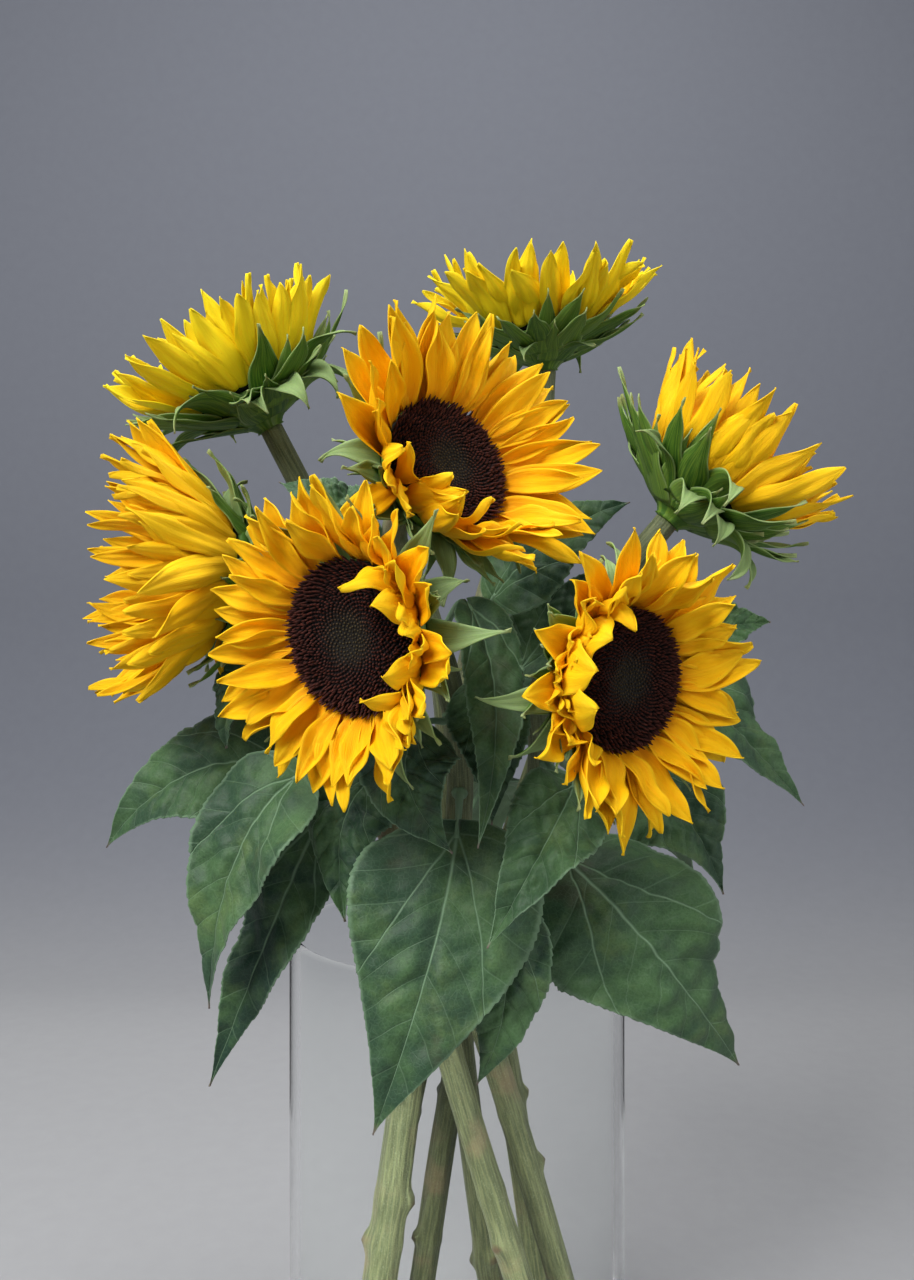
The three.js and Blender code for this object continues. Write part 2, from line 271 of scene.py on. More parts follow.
# A leaf's veins, which its material draws and its blade is quilted between.
STRONG_VEIN_SLOPE = 0.36         # how far out the strong veins run for each length along
FINE_VEIN_STEP = 0.135           # between fine veins, in leaf lengths
INNER_SLOPE = 0.75               # how fast the fine veins run forwards as they leave the midrib,
OUTER_SLOPE = 0.40               # and as they leave the strong veins outwards,
VEIN_SWERVE = 1.9                # and how much they swing further forwards


def vein_pattern(g):
    """Distances to a leaf's veins, in leaf lengths: the midrib, a strong vein each side of it
    from the base, and finer ones that leave these forwards at an even spacing."""
    across, along = g.uv()
    wobble = g.times(g.minus(g.noise(g.place(), 26.0, 2.0), 0.5), 0.045)
    side = g.off_middle(across)
    bent = g.plus(side, wobble)
    strong = g.calc("ABSOLUTE", g.minus(bent, g.times(along, STRONG_VEIN_SLOPE)))
    swerve = g.times(g.times(side, side), VEIN_SWERVE)
    inner = g.minus(g.plus(along, wobble), g.times(side, INNER_SLOPE))
    inner = g.minus(inner, swerve)
    outer = g.minus(g.plus(along, wobble), g.times(side, OUTER_SLOPE))
    is_outer = g.calc("GREATER_THAN", bent, g.times(along, STRONG_VEIN_SLOPE))
    run = g.plus(g.times(inner, g.minus(1.0, is_outer)), g.times(outer, is_outer))
    fine = g.calc("PINGPONG", run, FINE_VEIN_STEP / 2)
    return side, strong, fine, along


def leaf_material(name, dark, light, vein, under):
    """Matt blue-green leaf with pale veins, a mottle of lighter and yellower green, a paler
    downy underside, and a brown tip."""
    g = Graph(name)
    side, strong, fine, along = vein_pattern(g)
    tone = g.attribute("tone")
    below = g.attribute("under")
    taper = g.minus(1.15, along)
    midrib = g.near(side, g.times(taper, 0.0105))
    main = g.near(strong, g.times(taper, 0.0075))
    small = g.near(fine, 0.0050)
    net = g.near(g.cells(g.place(), 330.0, "DISTANCE_TO_EDGE"), 0.09)
    veins = g.larger(midrib, g.times(main, 0.85))
    veins = g.larger(veins, g.times(small, 0.34))
    veins = g.larger(veins, g.times(net, 0.10))
    mottle = g.noise(g.place(), 24.0, 5.0, 0.6)
    speckle = g.noise(g.place(), 900.0, 2.0)
    colour = g.mix(g.spread(mottle, 0.41, 0.62), dark, light)
    colour = g.mix(g.times(tone, 0.6), colour, light)
    yellower = g.spread(g.noise(g.place(), 42.0, 4.0, 0.62), 0.50, 0.74)
    colour = g.mix(g.times(yellower, 0.55), colour, (0.105, 0.170, 0.048))
    colour = g.tint(g.spread(speckle, 0.35, 0.75), colour, (0.68, 0.74, 0.66))
    bruise = g.spread(g.noise(g.place(), 17.0, 4.0, 0.65), 0.58, 0.72)
    colour = g.mix(g.times(bruise, 0.45), colour, (0.060, 0.050, 0.030))
    colour = g.mix(g.times(veins, 0.75), colour, vein)
    colour = g.mix(g.times(below, 0.7), colour, under)
    colour = g.mix(g.part(g.attribute("margin"), 0.45, 0.95, 0.55), colour, vein)
    colour = g.mix(g.spread(along, 0.965, 1.0), colour, (0.16, 0.12, 0.10))
    height = g.minus(g.times(speckle, 0.15), g.times(veins, 0.8))
    height = g.plus(height, g.times(g.noise(g.place(), 260.0, 3.0), 0.4))
    g.bump(height, 0.75, 0.8 * MM)
    rough = g.plus(0.46, g.times(mottle, 0.25))
    return g.finish(colour, rough, Sheen_Weight=0.06, Sheen_Roughness=0.5,
                    Specular_IOR_Level=0.32)


def bract_material():
    """Green bract: bright along its ribs, whitish hairy edges, paler inside, dry thread tip."""
    g = Graph("bract_green")
    across, along = g.uv()
    tone = g.attribute("tone")
    edge = g.off_middle(across)
    ribs = g.noise(g.join(g.times(across, 26.0), g.times(along, 2.0), tone), 1.0)
    colour = g.mix(g.spread(ribs, 0.4, 0.65), (0.026, 0.085, 0.007), (0.110, 0.200, 0.020))
    colour = g.mix(g.times(tone, 0.55), colour, (0.20, 0.33, 0.06))
    colour = g.mix(g.part(edge, 0.42, 0.5, 0.35), colour, (0.34, 0.44, 0.19))
    colour = g.mix(g.part(along, 0.80, 1.0, 0.5), colour, (0.36, 0.33, 0.15))
    inner = g.minus(1.0, g.attribute("under"))
    colour = g.mix(g.times(inner, 0.55), colour, (0.33, 0.44, 0.20))
    down = g.noise(g.place(), 1100.0, 2.0)
    colour = g.mix(g.part(down, 0.6, 0.85, 0.12), colour, (0.42, 0.50, 0.28))
    g.bump(g.plus(ribs, g.times(down, 0.4)), 0.5, 0.6 * MM)
    return g.finish(colour, 0.6, Specular_IOR_Level=0.2,
                    Subsurface_Weight=0.10, Subsurface_Scale=2.0 * MM,
                    Subsurface_Radius=(0.5, 1.0, 0.2))


def stem_material():
    """Pale olive stem: ridges along it, brown streaks and scars, fine pale down."""
    g = Graph("stem_green")
    around, along = g.uv()
    turn = g.times(around, 2 * math.pi)
    ring = g.join(g.times(g.calc("COSINE", turn), 2.2),
                  g.times(g.calc("SINE", turn), 2.2), g.times(along, 2.0))
    streaks = g.noise(ring, 3.0, 4.0)
    patches = g.noise(g.place(), 28.0, 4.0, 0.6)
    down = g.noise(g.place(), 1300.0, 2.0)
    stump = g.spread(g.attribute("scar"), 0.35, 0.9)
    colour = g.mix(g.spread(streaks, 0.36, 0.66), (0.070, 0.088, 0.032), (0.165, 0.186, 0.078))
    colour = g.mix(g.part(patches, 0.55, 0.72, 0.55), colour, (0.24, 0.17, 0.09))
    colour = g.mix(g.part(down, 0.5, 0.8, 0.30), colour, (0.36, 0.41, 0.26))
    colour = g.mix(g.times(stump, 0.85), colour, (0.085, 0.045, 0.020))
    g.bump(g.plus(streaks, g.times(down, 0.35)), 0.6, 1.2 * MM)
    return g.finish(colour, 0.62, Sheen_Weight=0.10, Sheen_Roughness=0.5)


def disc_material():
    """Dark disc florets. UV y is height up a floret and x how far out on the disc it is."""
    g = Graph("disc_brown")
    out, high = g.uv()
    tone = g.attribute("tone")
    # Each floret fades to near black at its foot, and the bed under the florets is near black too: painted
    # shade in the deep gaps between the florets. The colours at the top are the florets' own maroon rim and
    # olive-gold heart.
    rim = g.mix(g.spread(high, 0.35, 1.0), (0.0050, 0.0018, 0.0016), (0.098, 0.021, 0.012))
    heart = g.mix(g.spread(high, 0.3, 1.0), (0.008, 0.0065, 0.0035), (0.080, 0.058, 0.020))
    colour = g.mix(g.spread(out, 0.16, 0.50), heart, rim)
    colour = g.tint(tone, colour, (0.45, 0.42, 0.42))
    grain = g.noise(g.place(), 1500.0, 2.0)
    colour = g.tint(g.spread(grain, 0.4, 0.7), colour, (0.7, 0.7, 0.7))
    g.bump(grain, 0.4, 0.3 * MM)
    return g.finish(colour, 0.7, Sheen_Weight=0.02, Specular_IOR_Level=0.22)


def glass_material():
    """Clear polished glass with the faintest ripple of a drawn cylinder."""
    g = Graph("vase_glass")
    g.bump(g.noise(g.place(), 9.0, 1.0), 0.02, 2.0 * MM)
    return g.finish((0.985, 0.995, 0.99), 0.0, Transmission_Weight=1.0, IOR=1.04)


def sweep_material():
    """Plain pale paper."""
    g = Graph("pale_paper")
    fibre = g.noise(g.place(), 60.0, 4.0)
    split = g.node("ShaderNodeSeparateXYZ")
    g.feed(split.inputs[0], g.place())
    # The wall behind is painted darker and bluer than the floor: painted shade, on what is one sheet of pale
    # paper.
    wall = g.spread(split.outputs[1], 0.55, 1.25)
    floor = g.mix(fibre, (0.32, 0.32, 0.325), (0.35, 0.35, 0.355))
    back = g.mix(fibre, (0.125, 0.132, 0.155), (0.140, 0.148, 0.172))
    colour = g.mix(wall, floor, back)
    g.bump(g.noise(g.place(), 900.0, 2.0), 0.05, 0.5 * MM)
    return g.finish(colour, 0.85)


# ------------------------------------------------------------------ mesh helpers

def unit(vectors):
    """Vectors divided by their lengths."""
    length = np.linalg.norm(vectors, axis=-1, keepdims=True)
    return vectors / np.maximum(length, 1e-12)


def smooth_noise(rng, *coords, waves=5, scale=1.0):
    """A smooth random field: the mean of a few sines of the coordinates, each with its own
    random direction, pitch and phase."""
    total = 0.0
    for _ in range(waves):
        pitch = rng.uniform(-1.0, 1.0, len(coords)) * scale
        total = total + np.sin(sum(p * c for p, c in zip(pitch, coords)) + rng.uniform(0, 2 * math.pi))
    return total / waves


def add_piece(name, vertices, faces, material, replaces=(), uv=None, floats=None):
    """One smooth mesh object at the origin that rides on the body. faces is a list of integer
    arrays, one row per face; uv and floats hold one value per vertex."""
    mesh = bpy.data.meshes.new(name)
    vertices = np.asarray(vertices, dtype=np.float64).reshape(-1, 3)
    corners = np.concatenate([f.reshape(-1) for f in faces]).astype(np.int32)
    sizes = np.concatenate([np.full(len(f), f.shape[1]) for f in faces]).astype(np.int32)
    starts = np.concatenate([[0], np.cumsum(sizes)[:-1]]).astype(np.int32)
    mesh.vertices.add(len(vertices))
    mesh.vertices.foreach_set("co", vertices.reshape(-1))
    mesh.loops.add(len(corners))
    mesh.loops.foreach_set("vertex_index", corners)
    mesh.polygons.add(len(sizes))
    mesh.polygons.foreach_set("loop_start", starts)
    mesh.polygons.foreach_set("use_smooth", np.ones(len(sizes), dtype=bool))
    if uv is not None:
        layer = mesh.uv_layers.new(name="surface")
        layer.data.foreach_set("uv", np.asarray(uv)[corners].reshape(-1).astype(np.float32))
    for key, values in (floats or {}).items():
        field = mesh.attributes.new(key, "FLOAT", "POINT")
        field.data.foreach_set("value", np.asarray(values, dtype=np.float32))
    mesh.update(calc_edges=True)
    mesh.validate()
    mesh.materials.append(material)
    piece = bpy.data.objects.new(name, mesh)
    bpy.context.scene.collection.objects.link(piece)
    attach(piece, BODY)
    if replaces:
        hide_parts(*replaces)
    return piece


def thin_sheets(grids, uv, thickness, tone):
    """Closed thin sheets from grids of points (sheets, rows, columns). Each grid is moved half
    the thickness both ways along its normals, and the two faces are stitched round the border.
    Returns vertices, faces, uv and the tone and under values of each vertex."""
    count, rows, columns, _ = grids.shape
    normals = unit(np.cross(np.gradient(grids, axis=1), np.gradient(grids, axis=2)))
    half = np.broadcast_to(np.asarray(thickness), grids.shape[:3])[..., None] / 2
    vertices = np.stack([grids + normals * half, grids - normals * half], axis=1)
    index = np.arange(count * 2 * rows * columns).reshape(count, 2, rows, columns)
    top, low = index[:, 0], index[:, 1]

    def quads(a, b, c, d):
        return np.stack([a, b, c, d], axis=-1).reshape(-1, 4)

    faces = [
        quads(top[:, :-1, :-1], top[:, 1:, :-1], top[:, 1:, 1:], top[:, :-1, 1:]),
        quads(low[:, :-1, :-1], low[:, :-1, 1:], low[:, 1:, 1:], low[:, 1:, :-1]),
        quads(top[:, :-1, 0], low[:, :-1, 0], low[:, 1:, 0], top[:, 1:, 0]),
        quads(top[:, :-1, -1], top[:, 1:, -1], low[:, 1:, -1], low[:, :-1, -1]),
        quads(top[:, 0, :-1], top[:, 0, 1:], low[:, 0, 1:], low[:, 0, :-1]),
        quads(top[:, -1, :-1], low[:, -1, :-1], low[:, -1, 1:], top[:, -1, 1:]),
    ]
    both = np.stack([uv, uv], axis=1).reshape(-1, 2)
    shade = np.broadcast_to(np.asarray(tone).reshape(count, 1, 1, 1), index.shape).reshape(-1)
    under = np.broadcast_to(np.array([0.0, 1.0]).reshape(1, 2, 1, 1), index.shape).reshape(-1)
    return vertices.reshape(-1, 3), [np.concatenate(faces)], both, {"tone": shade, "under": under}


def ring_angles(sides):
    """Angles evenly spread round a ring, in radians."""
    return 2 * math.pi * np.arange(sides) / sides


def capped(rings, rise=0.0):
    """Vertices of closed tubes from rings (tubes, rows, sides): the rings in order, then the
    middle of each tube's foot, then the middle of each top moved by rise."""
    foot, top = rings[:, 0].mean(axis=1), rings[:, -1].mean(axis=1) + rise
    return np.concatenate([rings.reshape(-1, 3), foot, top])


def tube_faces(count, rows, sides):
    """Side faces and end caps of closed tubes whose vertices are in the order of capped."""
    index = np.arange(count * rows * sides).reshape(count, rows, sides)
    ahead = np.roll(index, -1, axis=2)
    walls = np.stack([index[:, :-1], ahead[:, :-1], ahead[:, 1:], index[:, 1:]], axis=-1).reshape(-1, 4)
    foot = np.broadcast_to((count * rows * sides + np.arange(count))[:, None], (count, sides))
    top = foot + count
    low = np.stack([foot, ahead[:, 0], index[:, 0]], axis=-1).reshape(-1, 3)
    high = np.stack([top, index[:, -1], ahead[:, -1]], axis=-1).reshape(-1, 3)
    return [walls, np.concatenate([low, high])]


def joined_parts(parts):
    """Several (vertices, faces, uv, floats) as one, keeping the order."""
    offset = 0
    vertices, faces, uv, floats = [], [], [], {}
    for part_vertices, part_faces, part_uv, part_floats in parts:
        vertices.append(part_vertices)
        faces.extend(f + offset for f in part_faces)
        uv.append(part_uv)
        for key, values in part_floats.items():
            floats.setdefault(key, []).append(values)
        offset += len(part_vertices)
    merged = {key: np.concatenate(values) for key, values in floats.items()}
    return np.concatenate(vertices), faces, np.concatenate(uv), merged


def node_points(name):
    """The different vertices of a CAD node."""
    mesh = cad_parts[name].data
    flat = np.empty(len(mesh.vertices) * 3)
    mesh.vertices.foreach_get("co", flat)
    points = flat.reshape(-1, 3)
    _, keep = np.unique(np.round(points, 5), axis=0, return_index=True)
    return points[np.sort(keep)]


# ------------------------------------------------------------------ flower heads

DISC_FOOT = 5.7 * MM             # the disc's rim plane is this far above its underside
PETAL_THICK = 0.45 * MM
BRACT_THICK = 0.55 * MM
BLADE_SWAY = 0.6 * MM            # how far a blade's middle line wanders sideways


class Head:
    """A flower head's own frame, read from its CAD disc: centre of the rim plane, the way it
    faces, the direction across it nearest to upright, and the direction to its right."""

    def __init__(self, number):
        self.number = number
        self.name = f"flower_{number}"
        disc = node_points(self.name + "_disc")
        middle = disc.mean(axis=0)
        _, _, axes = np.linalg.svd(disc - middle, full_matrices=False)
        back = node_points(self.name + "_bracts").mean(axis=0)
        self.facing = axes[2] * np.sign(np.dot(axes[2], middle - back))
        reach = (disc - middle) @ self.facing
        self.centre = middle + self.facing * (reach.min() + DISC_FOOT)
        out = disc - self.centre
        self.radius = np.linalg.norm(out - np.outer(out @ self.facing, self.facing), axis=1).max()
        self.up = unit(UP - self.facing * np.dot(UP, self.facing))
        self.right = np.cross(self.up, self.facing)
        self.rng = np.random.default_rng(1000 + number)

    def to_world(self, out, aside, high, angle):
        """Points from distance out along angle, distance aside (anticlockwise) and height."""
        cosine, sine = np.cos(angle), np.sin(angle)
        x = out * cosine - aside * sine
        y = out * sine + aside * cosine
        return (self.centre + x[..., None] * self.right + y[..., None] * self.up
                + high[..., None] * self.facing)

    def turned(self, out, high, sides):
        """A closed surface turned about the head's axis, from its rows' radii and heights."""
        turn = ring_angles(sides)
        rows = len(high)
        level = np.zeros((rows, sides))
        rings = self.to_world(out + level, level, high[:, None] + level, turn + level)
        return capped(rings[None]), tube_faces(1, rows, sides)


def swept_blades(head, angle, root, lengths, widths, first, last, yaw, twist, cup, profile,
                 rows, columns, groove=0.0, ripple=0.0, bend_power=1.0, edge_curl=0.0, crumple=0.0):
    """Blades that grow out from a head. Along each one its heading turns from first to last
    (radians up from the disc's plane) as bend_power of the way along, and the sum of its steps
    in that heading is its middle line, which yaw carries sideways and twist rolls. Across it the
    section is a parabola of depth cup * half width, plus cosine grooves, edges that turn up by
    edge_curl and ripple as a sine along them, and a crumple of smooth noise. All blades at once,
    as arrays of (blades, rows, columns). Returns the grids and their uv."""
    rng = head.rng
    count = len(angle)

    def column(values):
        return np.broadcast_to(np.asarray(values, dtype=float), (count,)).reshape(count, 1)

    s = np.linspace(0.0, 1.0, rows)[None, :]
    v = np.linspace(-1.0, 1.0, columns)[None, None, :]
    turn = column(first) + (column(last) - column(first)) * s ** bend_power
    step = column(lengths) / (rows - 1)
    climb = np.concatenate([np.zeros((count, 1)), np.cumsum(np.sin(turn)[:, :-1] * step, axis=1)], 1)
    reach = np.concatenate([np.zeros((count, 1)), np.cumsum(np.cos(turn)[:, :-1] * step, axis=1)], 1)
    aside = column(yaw) * column(lengths) * s ** 1.6
    roll = column(twist) * s
    half = column(widths) / 2 * profile(s)
    sway = smooth_noise(rng, s * 6.0 + column(angle) * 9.0, waves=4, scale=2.0)
    normal_out, normal_high = -np.sin(turn), np.cos(turn)
    half3, roll3 = half[..., None], roll[..., None]
    across = v * half3
    lift = column(cup)[..., None] * half3 * v ** 2
    lift = lift + groove * np.cos(v * 2.5 * math.pi) * np.sin(math.pi * s)[..., None]
    phase = rng.uniform(0, 2 * math.pi, (count, 1, 1))
    wave = np.sin(s[..., None] * 11.0 + phase + np.sign(v) * 1.3) * v ** 4
    lift = lift + ripple * wave * np.sqrt(s)[..., None]
    lift = lift + edge_curl * half3 * np.abs(v) ** 5
    own = column(angle)[..., None] * 31.0
    buckle = smooth_noise(rng, s[..., None] * 11.0 + own, v * 2.6, own, waves=7)
    lift = lift + crumple * buckle * np.sin(math.pi * s)[..., None]
    side_way = across * np.cos(roll3) - lift * np.sin(roll3)
    normal_way = across * np.sin(roll3) + lift * np.cos(roll3)
    root_out, root_high = root
    out = column(root_out)[..., None] + reach[..., None] + normal_way * normal_out[..., None]
    high = column(root_high)[..., None] + climb[..., None] + normal_way * normal_high[..., None]
    aside3 = aside[..., None] + side_way + sway[..., None] * BLADE_SWAY
    grids = head.to_world(out, aside3, high, column(angle)[..., None])
    uv = np.empty(grids.shape[:3] + (2,))
    uv[..., 0] = (v + 1) / 2
    uv[..., 1] = s[..., None]
    return grids, uv


def petal_profile(s):
    """Half width along a petal: a narrow claw that widens to its full width at two fifths and
    draws in, ever faster and then straight, to a point."""
    widen = 0.42 + 0.58 * np.sin(math.pi / 2 * np.clip(s / 0.42, 0, 1))
    taper = (1.0 - np.clip((s - 0.36) / 0.64, 0, 1) ** 2.0) ** 0.9
    return np.maximum(widen * taper, 0.02)


def drawn_out(place, root, tip):
    """A power of the way from the root times a power of the way to the tip, 1 at its highest."""
    widest = root / (root + tip)
    full = widest ** root * (1 - widest) ** tip
    return place ** root * (1 - place) ** tip / full


def bract_profile(s):
    """Half width along a bract, 1 at its widest: broad at the root and drawn out to a long tip."""
    place = 0.14 + 0.86 * s
    return np.maximum(drawn_out(place, 0.5, 1.45), 0.035)


def around(places, angle):
    """Values at angles, read in straight lines between places (degrees, values...) round the
    head, the last of which leads on to the first."""
    degrees, *values = np.array(sorted(places), dtype=float).T
    return np.stack([np.interp(np.degrees(angle), degrees, row, period=360.0) for row in values])


# How each flower's petals stand, in millimetres and degrees, an angle round the head being
# anticlockwise from its right:
#   length   of its petals
#   rise     angle round the head, then how far the petals there rise from the disc's plane at
#            root and at tip, where past 90 a petal folds in over the disc
#   share    angle, then the share of their length that the petals there have
#   single   petals that stand out on their own: angle, length, width, rise at root and at tip,
#            yaw and twist, these two in radians
#   dense    how many times the usual number of petals it has
#   collar   how many times the usual size its bracts are
#   hooks    extra broad bracts that turn back and show their pale inner side: angle, length,
#            width and rise at the tip
PETAL_HABIT = {
    1: dict(length=52, collar=1.12, dense=1.2,
            rise=[(330, 32, 42), (20, 38, 50), (60, 44, 56), (100, 40, 52), (150, 30, 40),
                  (195, 38, 52), (240, 46, 62), (285, 42, 56)]),
    2: dict(length=50, collar=1.30, dense=1.3,
            rise=[(0, 50, 72), (45, 49, 70), (90, 46, 66), (180, 40, 58), (225, 43, 62),
                  (270, 42, 58), (315, 46, 66)],
            hooks=[(-14, 37, 22, -80), (8, 42, 26, -120), (34, 42, 27, -135), (58, 38, 25, -110),
                   (80, 40, 24, -125), (104, 34, 22, -60)]),
    3: dict(length=50, rise=[(0, 36, 30), (60, 35, 30), (100, 37, 34), (140, 36, 34), (180, 40, 42),
                             (212, 50, 80), (245, 56, 106), (275, 54, 92), (295, 50, 76), (315, 44, 50),
                             (340, 36, 28)],
            single=[(203, 40, 14, 8, -16, 0.10, 0.5)]),
    4: dict(length=64, dense=1.15,
            rise=[(0, 56, 78), (90, 54, 72), (180, 50, 68), (250, 50, 74), (300, 50, 70)],
            single=[(282, 48, 9, 10, -70, 0.05, 1.4), (96, 56, 15, 44, 40, 0.0, 0.2)]),
    5: dict(length=41, rise=[(0, 45, 56), (35, 44, 56), (60, 40, 46), (90, 37, 32), (130, 35, 24),
                             (180, 37, 28), (230, 37, 26), (270, 37, 30), (300, 40, 42),
                             (330, 44, 56)],
            share=[(0, 0.72), (45, 0.80), (90, 1.0), (270, 1.0), (315, 0.85)],
            single=[(22, 30, 17, 56, 128, 0.1, 0.3), (44, 33, 16, 62, 146, 0.15, 0.4),
                    (340, 31, 17, 54, 122, 0.0, -0.2), (320, 32, 14, 58, 138, -0.1, -0.3),
                    (286, 38, 10, 26, -8, -0.15, 0.9)]),
    6: dict(length=42, rise=[(0, 32, 16), (50, 36, 22), (90, 42, 38), (130, 40, 46), (165, 36, 48),
                             (205, 36, 48), (235, 37, 40), (270, 36, 28), (315, 30, 12)],
            share=[(0, 0.94), (115, 1.0), (145, 0.50), (215, 0.50), (245, 1.0), (290, 1.0)],
            single=[(116, 32, 10, 50, 140, 0.25, 0.3), (146, 31, 23, 44, 112, 0.05, 0.1),
                    (170, 33, 24, 40, 104, 0.0, 0.05), (194, 32, 24, 42, 110, -0.05, -0.1),
                    (132, 30, 16, 34, 14, 0.1, 0.3), (158, 27, 17, 28, 0, 0.0, -0.2),
                    (184, 27, 17, 28, -4, 0.05, 0.2), (212, 31, 16, 32, 10, -0.1, -0.3)]),
    7: dict(length=53, collar=1.25, dense=1.25,
            rise=[(0, 58, 76), (90, 54, 72), (180, 54, 72), (270, 50, 68)],
            hooks=[(206, 38, 23, -100), (236, 40, 25, -130), (262, 36, 22, -90), (180, 36, 22, -110)]),
}

SINGLE_ROOT = -5.0               # height in mm of a single petal's root
PETAL_GAP = 1.2 * MM             # from the disc's rim to the petals' roots

# Each row of petals: count, share of the flower's petal length, width in mm, the root's height
# in mm, and how many degrees more than the habit says its petals rise.
PETAL_ROWS = (
    (21, 1.00, 15.0, -4.2, -5.0),
    (19, 0.94, 14.5, -3.0, 2.0),
    (14, 0.84, 13.0, -1.8, 8.0),
)


def add_petals(head, material):
    """Three rows of petals round the disc, each with its own length, turn, twist and curl."""
    rng = head.rng
    habit = PETAL_HABIT[head.number]
    angle, length, width, high, opening = [], [], [], [], []
    for row, (count, share, wide, root, open_more) in enumerate(PETAL_ROWS):
        count = round(count * habit.get("dense", 1.0))
        step = 2 * math.pi / count
        angle.append(step * (np.arange(count) + 0.37 * row) + rng.normal(0, step * 0.14, count))
        length.append(habit["length"] * share * rng.uniform(0.86, 1.08, count))
        width.append(wide * rng.uniform(0.82, 1.15, count))
        high.append(np.full(count, root))
        opening.append(np.full(count, open_more))
    angle, length, width = (np.concatenate(a) for a in (angle, length, width))
    high, opening = np.concatenate(high), np.radians(np.concatenate(opening))
    first, last = np.radians(around(habit["rise"], angle))
    length = length * around(habit.get("share", [(0, 1.0)]), angle)[0]
    count = len(angle)
    first = first + opening + rng.normal(0, 0.10, count)
    last = last + opening + rng.normal(0, 0.30, count)
    yaw, twist = rng.normal(0, 0.13, count), rng.normal(0, 0.45, count)
    single = np.array(habit.get("single", ())).reshape(-1, 7).T
    single[[0, 3, 4]] = np.radians(single[[0, 3, 4]])
    rows = np.stack([angle, length, width, first, last, yaw, twist])
    angle, length, width, first, last, yaw, twist = np.concatenate([rows, single], axis=1)
    high = np.concatenate([high, np.full(single.shape[1], SINGLE_ROOT)])
    count = len(angle)
    grids, uv = swept_blades(
        head, angle, (head.radius + PETAL_GAP, high * MM), length * MM, width * MM, first, last,
        yaw=yaw, twist=twist, cup=rng.uniform(0.05, 0.60, count), profile=petal_profile,
        rows=26, columns=13, groove=0.45 * MM, ripple=1.5 * MM, edge_curl=0.10, crumple=4.2 * MM)
    vertices, faces, uv, floats = thin_sheets(grids, uv, PETAL_THICK, rng.uniform(0, 1, count))
    name = head.name + "_petals"
    add_piece(name + "_fine", vertices, faces, material,
              (name,), uv, floats)


FLORETS = 1250
FLORET_GIRTH = (0.75, 1.0, 0.72, 0.25)
GOLDEN_ANGLE = math.pi * (3 - math.sqrt(5))


def add_disc(head, material):
    """A low dome covered with florets on a golden-angle spiral, the root of each one's number
    being its distance out: tight buds in the middle, and longer bristly ones towards the rim
    that lean outwards. A floret is four six-sided rings."""
    rng = head.rng
    count, rows, sides = FLORETS, len(FLORET_GIRTH), 6
    k = np.arange(count) + 0.5
    share = np.sqrt(k / count)
    angle = k * GOLDEN_ANGLE
    spread = share * (head.radius + 0.4 * MM)
    dome = disc_height(share)
    size = 0.54 * MM + 0.28 * MM * share
    tall = (0.9 + 2.9 * np.clip((share - 0.25) / 0.6, 0, 1) ** 1.4) * MM * rng.uniform(0.75, 1.25, count)
    lean = 0.05 + 0.36 * share ** 3 + rng.normal(0, 0.10, count)
    sway = rng.normal(0, 0.12, count)
    h = np.linspace(0.0, 1.0, rows)
    girth = (size[:, None] * np.array(FLORET_GIRTH))[..., None]
    turn = ring_angles(sides)
    out = spread[:, None, None] + (lean[:, None] * tall[:, None] * h ** 1.2)[..., None]
    out = out + girth * np.cos(turn)
    aside = (sway[:, None] * tall[:, None] * h)[..., None] + girth * np.sin(turn)
    high = (dome[:, None] - 0.6 * MM + tall[:, None] * h)[..., None] + 0.0 * turn
    rings = head.to_world(out, aside, high, angle[:, None, None])
    vertices = capped(rings, head.facing * 0.25 * MM)
    height = np.broadcast_to(h[None, :, None], rings.shape[:3]).reshape(-1)
    where = np.broadcast_to(share[:, None, None], rings.shape[:3]).reshape(-1)
    tone = rng.uniform(0, 1, count)
    shade = np.broadcast_to(tone[:, None, None], rings.shape[:3]).reshape(-1)
    uv = np.stack([np.concatenate([where, share, share]),
                   np.concatenate([height, np.zeros(count), np.ones(count)])], axis=1)
    florets = (vertices, tube_faces(count, rows, sides), uv, {"tone": np.concatenate([shade, tone, tone])})
    vertices, faces, uv, floats = joined_parts([disc_bed(head), florets])
    name = head.name + "_disc"
    add_piece(name + "_fine", vertices, faces, material, (name,), uv, floats)


def disc_height(share):
    """Height of the disc's bed: a low dome with a dimple in the middle."""
    return (3.2 * (1 - share ** 4) - 2.2 * np.exp(-(share / 0.28) ** 2)) * MM


BED_FOOT = -5.4 * MM             # from the rim plane down to the bed's underside
BED_DROP = 0.4 * MM              # how far the bed lies under the florets' feet


def disc_bed(head):
    """The closed body under the florets: the bed's height turned about the head's axis."""
    sides = 48
    dome = np.linspace(1.0, 0.06, 9)
    share = np.concatenate([[0.5, 1.0], dome])
    high = np.concatenate([[BED_FOOT, BED_FOOT], disc_height(dome) - BED_DROP])
    vertices, faces = head.turned((share * head.radius)[:, None], high, sides)
    out = np.concatenate([np.repeat(share, sides), [0.5, 0.0]])
    uv = np.stack([out, np.full(len(out), 0.1)], axis=1)
    return vertices, faces, uv, {"tone": np.full(len(out), 0.5)}


# Each row of bracts: count, length and width in mm, the root's share of the disc's radius and
# its height in mm, and the rise in degrees at root and tip.
BRACT_ROWS = (
    (12, 34, 15.0, 0.40, -22.5, 22, 58),
    (14, 37, 16.0, 0.66, -18.5, 26, 60),
    (15, 37, 15.0, 0.92, -12.5, 24, 54),
)
HOOK_ROOT = (0.78, -19.5)        # share of the disc's radius, and height in mm
HOOK_RISE = 34.0                 # degrees at the root
HOOK_TONE = 0.8
LOOSE_BRACTS = 0.24              # share of the bracts that curl right away


